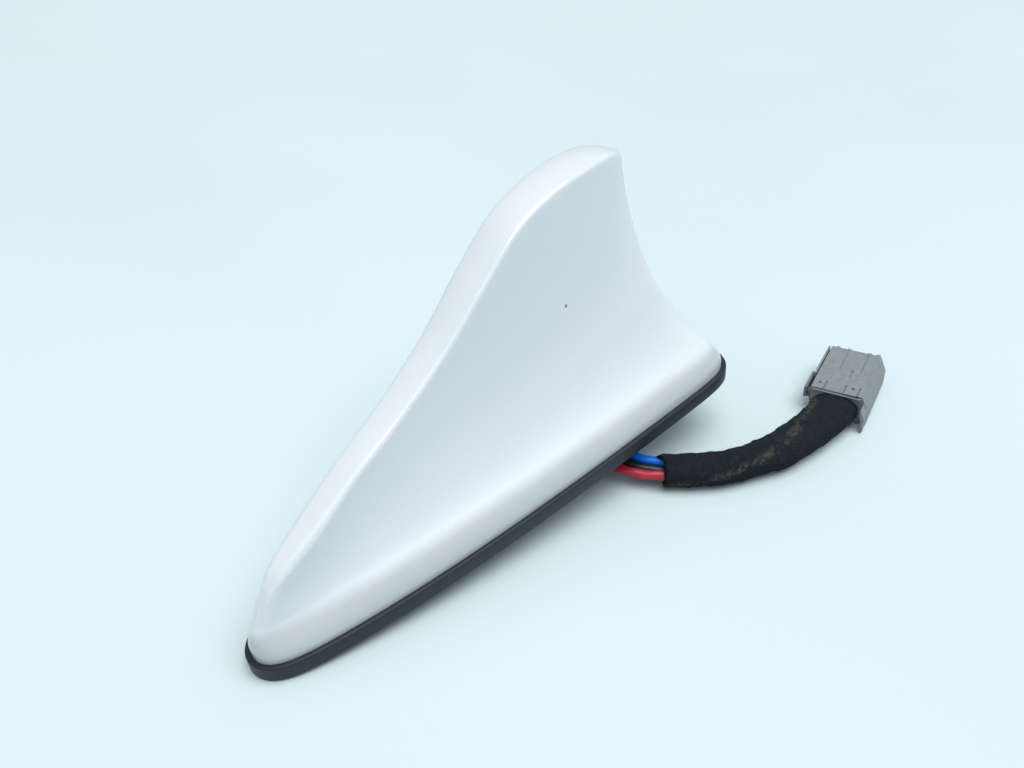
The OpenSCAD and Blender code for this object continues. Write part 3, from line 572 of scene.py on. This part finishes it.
def closed_rings(left):
    """Rings round the whole plan from the left half's curves, closed on the axis at top and bottom."""
    left[:, 0, 1] = 0
    left[:, -1, 1] = 0
    left[-1, :, 1] = 0
    floor = left[:1] * [1, 0, 1]
    left = np.concatenate([floor, left])
    right = left[:, 1:-1][:, ::-1] * [1, -1, 1]
    rings = np.concatenate([left, right], 1)
    return rings.reshape(-1, 3), grid_faces(rings.shape[0], rings.shape[1], wrap_cols=True)


# Operators

class ANTENNA_OT_stage(bpy.types.Operator):
    """Adds the camera, the lamps and the pale table"""
    bl_idname = "antenna.stage"
    bl_label = "Camera and Stage"

    def execute(self, context):
        s = context.scene.antenna_stage
        add_camera(s)
        add_table(s)
        add_lights(s)
        return {"FINISHED"}


# The camera as fitted to the photograph: its turn, and the world's origin seen from it in millimetres
CAMERA_TURN = Vector((1.1440, 2.3331, -1.1835))
CAMERA_SHIFT = Vector((-4.095, 22.063, 256.607))


def add_camera(s):
    """The fit's camera looks along +Z with Y down, and Blender's along -Z with Y up."""
    turn = Matrix.Rotation(CAMERA_TURN.length, 3, CAMERA_TURN)
    lens = bpy.data.cameras.new("Camera")
    lens.sensor_width = 36
    lens.lens = s.lens
    camera = bpy.data.objects.new("Camera", lens)
    spin = turn.transposed() @ Matrix(((1, 0, 0), (0, -1, 0), (0, 0, -1)))
    camera.matrix_world = Matrix.Translation(-(turn.transposed() @ CAMERA_SHIFT) * MM) @ spin.to_4x4()
    bpy.context.scene.collection.objects.link(camera)
    bpy.context.scene.camera = camera


TABLE_FAR = 3000.0


def add_table(s):
    """A wide flat table, a little higher under the nose than under the tail. Only the camera and mirror
    images see its full colour. It is darker to all other rays, so it throws less light on the antenna."""
    x, y = np.meshgrid([-TABLE_FAR, TABLE_FAR], [-TABLE_FAR, TABLE_FAR])
    z = s.slope * (x - s.contact_x / MM)
    points = np.stack([x, y, z], -1).reshape(-1, 3)
    f = Finish("table_top", base_color=s.table, roughness=0.7, specular_ior_level=0.2)
    seen = f.add("ShaderNodeLightPath", None, None, "Is Camera Ray")
    for ray in ("Is Glossy Ray", "Is Transmission Ray"):
        seen = seen.most(f.add("ShaderNodeLightPath", None, None, ray))
    cloud = f.noise(0.25, 2.0).between(0.35, 0.65)
    pale = f.mix(cloud, shade(s.table, 0.985), shade(s.table, 1.01))
    f.set(base_color=f.mix(seen, shade(s.table, s.bounce), pale))
    mesh = bpy.data.meshes.new("table")
    mesh.from_pydata([tuple(p * MM) for p in points], [], [(0, 1, 3, 2)])
    table = bpy.data.objects.new("table", mesh)
    table.data.materials.append(f.material)
    bpy.context.scene.collection.objects.link(table)


# Place and width of each lamp in metres
LAMPS = {"key": ((-1.5, 2.3, 8.6), 9.0), "overhead": ((0.40, 0.30, 1.0), 0.5)}


def add_lights(s):
    """An even sky, a broad soft lamp high up, a little behind and to the left, and a small one that is
    above the nose, ahead of it and to the left."""
    world = bpy.data.worlds.new("even_sky")
    world.use_nodes = True
    sky = world.node_tree.nodes["Background"]
    sky.inputs["Color"].default_value = (0.90, 0.96, 1.0, 1.0)
    sky.inputs["Strength"].default_value = s.sky
    bpy.context.scene.world = world
    for name, (place, size) in LAMPS.items():
        light = bpy.data.lights.new(name, "AREA")
        light.shape = "DISK"
        light.size = size
        light.energy = getattr(s, name)
        light.color = (0.97, 0.99, 1.0)
        lamp = bpy.data.objects.new(name, light)
        aim = Vector(place).to_track_quat("Z", "Y")
        lamp.matrix_world = Matrix.Translation(place) @ aim.to_matrix().to_4x4()
        bpy.context.scene.collection.objects.link(lamp)
    bpy.context.scene.view_settings.view_transform = "Standard"


# Route of the lead's middle from the grommet to the connector, in millimetres
LEAD = np.array([
    [-21.5, 0, -5.1], [-23, 0, -5.1], [-25, 0, -5.1], [-27.8, 1.1, -5.2], [-29.8, 3.9, -5.7],
    [-30.4, 8, -6.3], [-29.6, 12.7, -6.9], [-28.3, 17.5, -7.5], [-27.7, 22.3, -8], [-28.8, 27.3, -8.5],
    [-31.8, 32.6, -9.05], [-35.5, 37.4, -9.5], [-39.4, 41.5, -9.98], [-43.3, 44.8, -10.45],
    [-47.6, 47.6, -10.96], [-52.2, 50, -11.52], [-57, 52, -12.09], [-62, 53.5, -12.69],
    [-67.1, 54.4, -13.3], [-72.2, 55.1, -13.92], [-77.2, 55.7, -14.52], [-82, 56.1, -15.09],
    [-86.62, 56.18, -15.61], [-91, 55.3, -16.15]])
# Points of the route where the cloth sleeve and its second layer begin
SLEEVE_START = 10
LAYER_START = 15
# At each point of the route, how far the outer wires lie beside the middle one, and how far it sinks
# below them before the factors further down
SPREAD = [4, 4, 4, 3.9, 3.8, 3.6, 3.5, 3.4, 3.2, 2.95, 2.7, 2.6, 2.4, 2.2,
          2, 1.9, 1.7, 1.7, 1.8, 2.2, 2.8, 3.6, 4.4, 4.4]
SINK = [0, 0, 0, 0, 0, 0, 0.05, 0.1, 0.15, 0.3, 0.55, 0.75, 1, 1.2,
        1.35, 1.45, 1.6, 1.6, 1.5, 1.2, 0.5, 0.2, 0, 0]
ROUTE_PER = 6
# Factor for the whole sink, and the shares of it by which the outer wires rise and the middle one drops
SINK_SIZE = 1.5
SINK_SIDE = 0.33
SINK_MIDDLE = -0.67
# Run in millimetres over which the creases wind by one radian
TWIST_RUN = 2.2


def way_of(path):
    """Unit direction at each point of a path, from the point before to the one after."""
    return unit(np.concatenate([path[1:2] - path[:1], path[2:] - path[:-2], path[-1:] - path[-2:-1]]))


def sides_of(path):
    """Unit directions to the left of a path and upwards from it, at each of its points."""
    way = way_of(path)
    left = unit(np.cross(UP, way))
    return left, np.cross(way, left)


def wire_route(k):
    """The middle of one wire: beside the lead's middle by the spread, and a little above or below it."""
    side, lift = sides_of(LEAD)
    spread, sink = np.array(SPREAD)[:, None], np.array(SINK)[:, None]
    return LEAD + k * spread * side + (SINK_MIDDLE if k == 0 else SINK_SIDE) * SINK_SIZE * sink * lift


def rings_on(path, half_w, half_h):
    """Points of an oval tube: the path, plus half_w times a cosine sideways and half_h times a sine
    upwards. half_w and half_h are arrays of path points x sides."""
    side, lift = sides_of(path)
    t = np.linspace(0, 2 * np.pi, half_w.shape[1], endpoint=False)
    return (path[:, None] + (half_w * np.cos(t))[..., None] * side[:, None]
            + (half_h * np.sin(t))[..., None] * lift[:, None])


def run_of(path):
    """Distance along the path at each of its points."""
    return np.concatenate([[0], np.cumsum(np.linalg.norm(np.diff(path, axis=0), axis=1))])


def closed_tube(name, path, radius, finish, twist=0.0):
    """A round solid tube. A twist gives the surface two shallow creases that wind round it."""
    sides = 20
    t = np.linspace(0, 2 * np.pi, sides, endpoint=False)
    run = run_of(path)[:, None]
    r = radius * (1 - twist * np.abs(np.cos(t + run / TWIST_RUN)) ** 6)
    body = rings_on(path, r, r)
    body = np.concatenate([np.repeat(path[:1, None], sides, 1), body, np.repeat(path[-1:, None], sides, 1)])
    rows = body.shape[0]
    uv = np.stack(np.broadcast_arrays(np.concatenate([run[:1], run, run[-1:]]), t[None] * radius), -1) * MM
    return new_piece(name, body.reshape(-1, 3), grid_faces(rows, sides, wrap_cols=True), finish,
                     uv.reshape(-1, 2))


class ANTENNA_OT_lead(bpy.types.Operator):
    """Adds the three wires and the cloth sleeve of the lead, once the connector is there"""
    bl_idname = "antenna.lead"
    bl_label = "Lead"

    def execute(self, context):
        s = context.scene.antenna_lead
        sleeve = add_sleeve(s)
        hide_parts("cloth_sleeve")
        # Node, side of the bundle, colour, slot and depth of the creases as a share of the radius
        wires = (("position_wire", 1, s.blue, "wire_blue", 0.0),
                 ("radio_wire", 0, s.black, "coax_black", 0.0),
                 ("phone_wire", -1, s.red, "wire_red", 0.16))
        for node, k, colour, slot_name, twist in wires:
            path = along(wire_route(k), ROUTE_PER)
            wire = closed_tube(node + "_jacket", path, s.wire_d / 2 / MM, jacket(node, colour),
                               twist)
            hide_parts(node)
        return {"FINISHED"}


def jacket(name, colour):
    """Smooth plastic jacket with faint scuffs."""
    f = Finish(name + "_jacket", base_color=colour, roughness=0.42)
    scuff = f.noise(0.0016, 4.0).between(0.5, 0.75)
    f.set(base_color=f.mix(scuff * 0.35, colour, shade(colour, 1.1, 0.05)),
          roughness=scuff * 0.2 + 0.36)
    return f.bump(f.noise(0.0007, 2.0), 0.00002)


# What the second layer adds to the sleeve's half width and half height, the angle round the sleeve at
# which the cloth laps over itself and the height of that lap, and how flat the open end is pressed
LAYER_W = 0.55
LAYER_H = 0.30
LAP_AT = 3.9
LAP = 0.35
MOUTH_PINCH = 0.4
# The second layer's step: how far past its point of the route it ends, its length and its slant round
# the sleeve, all as shares of the way to the next point
STEP_AT = 0.6
STEP_LEN = 0.18
STEP_SLANT = 0.22
# Waves of the cloth: height, radians for each millimetre of run, and number round the sleeve
WAVES = ((0.10, 0.9, 2), (0.08, 0.37, -3), (0.05, 2.1, 5))


def add_sleeve(s):
    """The sleeve's wall as one grid that goes along the outside, round the cut end, back along the
    inside and round the other end. A second layer begins in a low step half way along, and from there
    the sleeve grows wider and flatter up to the connector. The cloth laps over itself along one side.
    Three slow waves, and a short fray at the open end and at the step, change the half sizes."""
    path = along(LEAD[SLEEVE_START:], ROUTE_PER)
    sides = 96
    t = np.linspace(0, 2 * np.pi, sides, endpoint=False)[None]
    run = run_of(path)[:, None]
    at = np.arange(len(path))[:, None] / ROUTE_PER
    first, last = LAYER_START - SLEEVE_START, len(LEAD) - 1 - SLEEVE_START
    past_step = at + STEP_SLANT * np.cos(t - 0.6) - first - STEP_AT
    layer = smooth_step(-STEP_LEN, 0, past_step)
    spread = np.clip((at - first) / (last - first), 0, 1)
    mouth = MOUTH_PINCH * (1 - smooth_step(0, 5, run))
    lap = LAP * (((t - LAP_AT) % (2 * np.pi)) / (2 * np.pi) - 0.5)
    wave = sum(height * np.sin(run * turn + number * t) for height, turn, number in WAVES)
    fray = 0.12 * np.exp(-run / 0.8) + 0.1 * np.exp(-8 * np.abs(past_step))
    rough = lap + wave + fray * np.sin(7 * t + 1) - 0.15
    near_w, near_h, end_w, end_h = (size / 2 / MM for size in (s.sleeve_w, s.sleeve_h, s.end_w, s.end_h))
    half_w = near_w + rough + LAYER_W * layer + (end_w - near_w - LAYER_W) * spread
    half_h = near_h + rough + LAYER_H * layer + (end_h - near_h - LAYER_H) * spread - mouth
    outer = rings_on(path, half_w, half_h)
    wall = s.sleeve_t / MM
    rim = rings_on(path[[0, -1]], half_w[[0, -1]] - wall / 2, half_h[[0, -1]] - wall / 2)
    rim[0] -= 0.12 * way_of(path)[0]
    inner = rings_on(path, half_w - wall, half_h - wall)[::-1]
    body = np.concatenate([outer, rim[1:], inner, rim[:1]])
    places = np.concatenate([run, run[-1:], run[::-1], run[:1]])
    uv = np.stack(np.broadcast_arrays(places, t * near_w), -1) * MM
    faces = grid_faces(body.shape[0], sides, wrap_cols=True, wrap_rows=True)
    return new_piece("cloth_sleeve_woven", body.reshape(-1, 3), faces, cloth(s),
                     uv.reshape(-1, 2))


def cloth(s):
    """Woven black cloth: crossing threads, a fuzzy bloom, and dust worn into the crest in streaks."""
    f = Finish("woven_cloth", base_color=s.cloth, roughness=0.9, specular_ior_level=0.12)
    uv = f.place("UV")
    u = f.add("ShaderNodeSeparateXYZ", None, {"Vector": uv}, "X")
    v = f.add("ShaderNodeSeparateXYZ", None, {"Vector": uv}, "Y")
    pitch = 0.0006
    warp = (u * (2 * np.pi / pitch)).sine()
    weft = (v * (2 * np.pi / pitch)).sine()
    weave = warp * weft * 0.5 + 0.5
    fuzz = f.noise(0.0004, 4.0)
    streak = f.noise(0.006, 5.0, 0.6, (0.5, 1, 1), "UV")
    grain = f.noise(0.0011, 4.0, 0.7)
    crest = 1 - (u * 0.24 + v - 0.0182).size().between(0.0001, 0.002)
    worn = crest * (streak * 0.6 + grain * 0.6).between(0.52, 0.76)
    dust_film_and_shade = grain.between(0.42, 0.8) * 0.2
    base = f.mix(weave * 0.5 + fuzz * 0.5, shade(s.cloth, 0.7), shade(s.cloth, 1.5))
    f.set(base_color=f.mix((worn + dust_film_and_shade).least(1.0), base, s.dust))
    f.bump(weave * 0.6 + fuzz * 0.8, 0.00018)
    return f


class ANTENNA_OT_cover(bpy.types.Operator):
    """Adds the painted cover as one closed shell"""
    bl_idname = "antenna.cover"
    bl_label = "Cover"

    def execute(self, context):
        s = context.scene.antenna_cover
        points, faces = closed_rings(fin_curves(stations(), 0, s))
        cover = new_piece("painted_cover", points, faces, paint(s))
        cut_by(cover, [cover_hollow(s), screw_holes()], sharp=42)
        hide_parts("cover")
        return {"FINISHED"}


# Screw posts of the cover: one in the nose and three pairs along the sides
POST_IN = 6.9
POST_ROWS = (20, -30, PAD_LOW[0] + 12)
POSTS = [(62.0, 0.0)] + [(x, side * (half_w(x) - POST_IN)) for x in POST_ROWS for side in (-1, 1)]
POST_R = 2.9
POST_DRAFT = 0.5
POST_LEN = 14
PLATE_TOP = size_of("board_screws")[0][2]
SCREW_HIGH = size_of("cover_screws")[1][2]
SCREW_R = 1.3
# Gussets: how far they reach from the post's axis to the wall, half their thickness, and how far they
# stay above the post's foot and below its top
GUSSET_REACH = 3.7
GUSSET_HALF = 0.7
GUSSET_FOOT = 1.5
GUSSET_TOP = 0.5


def cover_hollow(s):
    """The space inside the cover: the inner surface, less the screw posts and their gussets."""
    points, faces = closed_rings(fin_curves(stations(4), 1, s)[::2])
    mesh = quad_mesh("hollow", points - GAP * UP, faces)
    foot, top = PLATE_TOP, PLATE_TOP + POST_LEN
    posts = [(ring_at(x, y, foot, POST_R), ring_at(x, y, top, POST_R + POST_DRAFT)) for x, y in POSTS]
    gussets = []
    for x, y in POSTS[1:]:
        near, far = sorted((y, y + np.sign(y) * GUSSET_REACH))
        gussets.append(box_at((x - GUSSET_HALF, near, foot + GUSSET_FOOT),
                              (x + GUSSET_HALF, far, top - GUSSET_TOP)))
    return cut_by(loose_object(mesh), [solid_of(posts), solid_of(gussets)])


def screw_holes():
    """Bores in the posts, from below their foot to just past the screws' tips."""
    r = SCREW_R + GAP
    foot, end = PLATE_TOP - 1, SCREW_HIGH + 2 * GAP
    return solid_of([(ring_at(x, y, foot, r), ring_at(x, y, end, r)) for x, y in POSTS])


def paint(s):
    """White pearl paint under clear lacquer: fine flakes, a faint wave, painted shade that greys the skirt
    below the shoulder, a few specks, and one larger chip high on the left flank."""
    f = Finish("pearl_paint", base_color=s.paint, roughness=0.38, coat_weight=1.0, coat_roughness=0.08,
               coat_ior=1.5, specular_ior_level=0.4)
    flake = f.noise(0.00028, 2.0, 0.7)
    cloud = f.noise(0.02, 3.0)
    dust = f.specks(0.014, 0.0002, 0.28)
    base = f.mix(flake.between(0.35, 0.7), shade(s.paint, 0.965), shade(s.paint, 1.03))
    base = f.mix(cloud.between(0.3, 0.7) * 0.4, base, shade(s.paint, 0.985))
    height = f.add("ShaderNodeSeparateXYZ", None, {"Vector": f.place()}, "Z")
    # Painted shade: below the shoulder the skirt's paint is darkened, with a cloudy edge
    low = s.shoulder_h - s.tail_drop
    skirt = 1 - (height + cloud * 0.001).between(low - 0.0012, low + 0.0018)
    base = f.mix(skirt, base, shade(s.paint, s.dust_film_and_shade))
    chip = f.add("ShaderNodeVectorMath", {"operation": "DISTANCE"}, {0: f.place(), 1: s.chip_at}, "Value")
    dust = dust.most(1 - chip.between(0.0003, 0.0006))
    f.set(base_color=f.mix(dust, base, s.dirt), roughness=flake * 0.1 + 0.33)
    return f.bump(f.noise(0.0035, 2.0), 0.000008)


class ANTENNA_OT_pad(bpy.types.Operator):
    """Adds the moulded rubber pad with its rounded lip, pockets and seal groove"""
    bl_idname = "antenna.pad"
    bl_label = "Base Pad"

    def execute(self, context):
        pad = add_pad(context.scene.antenna_pad)
        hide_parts("base_pad")
        return {"FINISHED"}


def arc(cx, cz, r, start, end, n=6):
    """Points of an arc in the pad's section, as inset from the outline and height."""
    t = np.radians(np.linspace(start, end, n))
    return [(cx - r * np.cos(w), cz + r * np.sin(w)) for w in t]


# The boss of the base plate: its back and front along X, half its width and its corner radius
BOSS = (-20.0, 13.0, 11.0, 4.0)
BOSS_GAP = 0.3
SEAL_W = 1.2
# Pockets: their pitch along X, the ribs between them, and how far the rows stay clear of the boss in
# millimetres and of the nose in pitches
PITCH = 9.0
RIB_W = 1.4
BOSS_CLEAR = 8
NOSE_CLEAR = 2.6
# The pad's section: how far in it reaches, the radius of the lip's outer and inner edge, and the bevel
# between the lip and the floor
SECTION_IN = 5.0
LIP_R = 0.45
LIP_INNER_R = 0.15
FLOOR_BEVEL = 0.3


def boss_outline(grow):
    """Outline of the boss as an oblong with round corners, grown all round."""
    back, front, half, r = BOSS[0] - grow, BOSS[1] + grow, BOSS[2] + grow, BOSS[3] + grow
    t = np.radians(np.linspace(0, 90, 9))
    corners = ((front - r, half - r), (back + r, half - r), (back + r, r - half), (front - r, r - half))
    arcs = []
    for quarter, (x, y) in enumerate(corners):
        w = t + quarter * np.pi / 2
        arcs.append(np.column_stack([x + r * np.cos(w), y + r * np.sin(w)]))
    return np.concatenate(arcs)


def pad_cuts(s):
    """The hole for the boss, the groove of the seal ring round it, and the two rows of pockets."""
    deep = s.pocket_d / MM
    hole = solid_of([raised(boss_outline(BOSS_GAP), -1, 3)])
    groove = cut_by(solid_of([raised(boss_outline(BOSS_GAP + 2 * SEAL_W), -1, deep)]),
                    [solid_of([raised(boss_outline(BOSS_GAP + SEAL_W), -2, deep + 1)])])
    length = PITCH - RIB_W
    rows = np.concatenate([np.arange(BOSS[1] + BOSS_CLEAR, PAD_HIGH[0] - NOSE_CLEAR * PITCH, PITCH),
                           np.arange(BOSS[0] - BOSS_CLEAR - length, PAD_LOW[0] + PITCH, -PITCH)])
    pockets = []
    for x in rows:
        near, far = (half_w(place) - s.band_w / MM for place in (x, x + length))
        left = np.array([[x, RIB_W / 2], [x + length, RIB_W / 2], [x + length, far], [x, near]])
        pockets += [raised(left, -1, deep), raised(left[::-1] * [1, -1], -1, deep)]
    return [hole, groove, solid_of(pockets)]


def add_pad(s):
    """The pad's section carried round the plan outline. The section is a list of insets and heights."""
    lip, floor = s.lip_t / MM, s.floor_t / MM
    r, small = LIP_R, LIP_INNER_R
    section = ([(SECTION_IN, 0.0)] + arc(r, r, r, -90, 0) + [(0.0, LIP_H * 0.5)]
               + arc(r, LIP_H - r, r, 0, 90) + arc(lip - small, LIP_H - small, small, 90, 180, 4)
               + [(lip, floor + FLOOR_BEVEL), (lip + FLOOR_BEVEL, floor), (SECTION_IN, floor)])
    a = np.radians(stations(2))
    left = np.stack([np.column_stack([plan_in(a, inset), np.full(len(a), z)]) for inset, z in section])
    points, faces = closed_rings(np.concatenate([left, left[-1:] * [1, 0, 1]]))
    pad = new_piece("moulded_pad", points, faces, rubber(s))
    return cut_by(pad, pad_cuts(s), sharp=38)


def rubber(s):
    """Blue-black rubber with a fine grain and a dusty bloom."""
    f = Finish("pad_rubber", base_color=s.rubber, roughness=0.5, specular_ior_level=0.45)
    bloom = f.noise(0.006, 4.0)
    fine = f.noise(0.0005, 3.0)
    f.set(base_color=f.mix(bloom.between(0.45, 0.8) * 0.5, s.rubber, shade(s.rubber, 1.7, 0.01)),
          roughness=bloom * 0.2 + 0.38)
    return f.bump(fine, 0.00003)


class ANTENNA_OT_connector(bpy.types.Operator):
    """Adds the connector's housing and lock with soft edges"""
    bl_idname = "antenna.connector"
    bl_label = "Connector"

    def execute(self, context):
        s = context.scene.antenna_connector
        soften("connector_housing", moulded("connector_grey", s.housing), s.edge)
        soften("connector_lock", moulded("lock_grey", s.lock), s.edge * 0.6)
        return {"FINISHED"}


def moulded(name, colour, roughness=0.5):
    """Moulded plastic with a fine grain, scuffs and a little dust."""
    f = Finish(name, base_color=colour, roughness=roughness)
    scuff = f.noise(0.002, 5.0, 0.65)
    f.set(base_color=f.mix(scuff.between(0.3, 0.75), shade(colour, 0.9), shade(colour, 1.14)),
          roughness=scuff * 0.25 + (roughness - 0.12))
    return f.bump(f.noise(0.0003, 2.0), 0.00002)


def metal(name, colour, roughness, grain=0.0006):
    """Plain metal with a faint grain."""
    f = Finish(name, base_color=colour, metallic=1.0, roughness=roughness)
    fine = f.noise(grain, 3.0)
    f.set(base_color=f.mix(fine, shade(colour, 0.9), shade(colour, 1.05)),
          roughness=fine * 0.2 + (roughness - 0.1))
    return f.bump(fine, 0.00002)


def board():
    """Green solder mask with faint tracks below it."""
    colour = (0.012, 0.10, 0.035)
    f = Finish("solder_mask", base_color=colour, roughness=0.35)
    track = f.noise(0.004, 0.0, 0.5, (1, 0.2, 1)).between(0.48, 0.52)
    f.set(base_color=f.mix(track, colour, (0.02, 0.16, 0.06)), roughness=track * 0.1 + 0.3)
    return f


def dress(node, finish):
    """Gives a CAD node its finish."""
    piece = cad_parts[node]
    piece.data.materials.clear()
    piece.data.materials.append(finish.material)


def soften(node, finish, edge):
    """A copy of a CAD node whose sharp edges are rounded off, standing for the node."""
    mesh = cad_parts[node].data.copy()
    mesh.materials.clear()
    work = bmesh.new()
    work.from_mesh(mesh)
    bmesh.ops.remove_doubles(work, verts=work.verts, dist=2e-6)
    bmesh.ops.dissolve_limit(work, angle_limit=np.radians(0.6), verts=work.verts, edges=work.edges)
    work.to_mesh(mesh)
    work.free()
    piece = finished_piece(node + "_soft", mesh, finish)
    bevel = piece.modifiers.new("round_edges", "BEVEL")
    bevel.width = edge
    bevel.segments = 3
    bevel.limit_method = "ANGLE"
    bevel.angle_limit = np.radians(35)
    bevel.harden_normals = True
    bake(piece)
    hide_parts(node)
    return piece


class ANTENNA_OT_inside(bpy.types.Operator):
    """Finishes the base plate, the screws, the grommet and the antenna board with what it carries"""
    bl_idname = "antenna.inside"
    bl_label = "Base and Board"

    def execute(self, context):
        cast = metal("die_cast", (0.55, 0.56, 0.58), 0.5, 0.0008)
        tin = metal("tin_plate", (0.72, 0.71, 0.68), 0.35)
        gold = metal("gold_plate", (0.83, 0.62, 0.25), 0.25)
        zinc = metal("zinc_plate", (0.66, 0.68, 0.7), 0.3)
        copper = metal("copper", (0.78, 0.42, 0.25), 0.3)
        green = board()
        finishes = {
            "cover_screws": zinc, "board_screws": zinc,
            "main_board": green, "phone_board": green, "phone_radiator": copper, "radio_coil": copper,
            "shield_frame": tin, "shield_lid": tin, "top_load_plate": tin, "earth_clip": tin,
            "patch_pad": moulded("foam", (0.05, 0.05, 0.055), 0.9),
            "patch_ceramic": moulded("fired_ceramic", (0.6, 0.48, 0.3), 0.6),
            "patch_electrode": metal("silver_plate", (0.86, 0.86, 0.84), 0.3), "patch_pin": gold,
            "amplifier_chips": moulded("chip_resin", (0.02, 0.02, 0.022), 0.6),
            "coil_carrier": moulded("carrier_plastic", (0.62, 0.6, 0.5), 0.5), "coil_spring_clip": gold,
            "coax_ferrules": gold, "coax_contacts": gold,
            "inner_coax": moulded("inner_jacket", (0.015, 0.015, 0.017), 0.5),
        }
        for node, finish in finishes.items():
            dress(node, finish)
        soften("base_plate", cast, 0.0003)
        black = moulded("grommet_rubber", (0.015, 0.015, 0.017), 0.7)
        soften("cable_grommet", black, 0.0003)
        return {"FINISHED"}


class ANTENNA_PT_panel(bpy.types.Panel):
    """Lists the antenna's pieces and their sizes"""
    bl_idname = "ANTENNA_PT_panel"
    bl_label = "Roof Antenna"
    bl_space_type = "VIEW_3D"
    bl_region_type = "UI"
    bl_category = "Antenna"

    def draw(self, context):
        for operator in OPERATORS:
            self.layout.operator(operator.bl_idname)
        for name, group in SETTINGS.items():
            box = self.layout.box()
            box.label(text=group.__name__)
            for key in group.__annotations__:
                box.prop(getattr(context.scene, name), key)


OPERATORS = (ANTENNA_OT_stage, ANTENNA_OT_connector, ANTENNA_OT_lead, ANTENNA_OT_cover, ANTENNA_OT_pad,
             ANTENNA_OT_inside)


def register():
    for cls in (*SETTINGS.values(), *OPERATORS, ANTENNA_PT_panel):
        bpy.utils.register_class(cls)
    for name, group in SETTINGS.items():
        setattr(bpy.types.Scene, name, PointerProperty(type=group))


def unregister():
    for name in SETTINGS:
        delattr(bpy.types.Scene, name)
    for cls in (ANTENNA_PT_panel, *reversed(OPERATORS), *SETTINGS.values()):
        bpy.utils.unregister_class(cls)


def main():
    register()
    bpy.ops.antenna.stage()
    bpy.ops.antenna.connector()
    bpy.ops.antenna.lead()
    bpy.ops.antenna.cover()
    bpy.ops.antenna.pad()
    bpy.ops.antenna.inside()


if __name__ == "__main__":
    main()
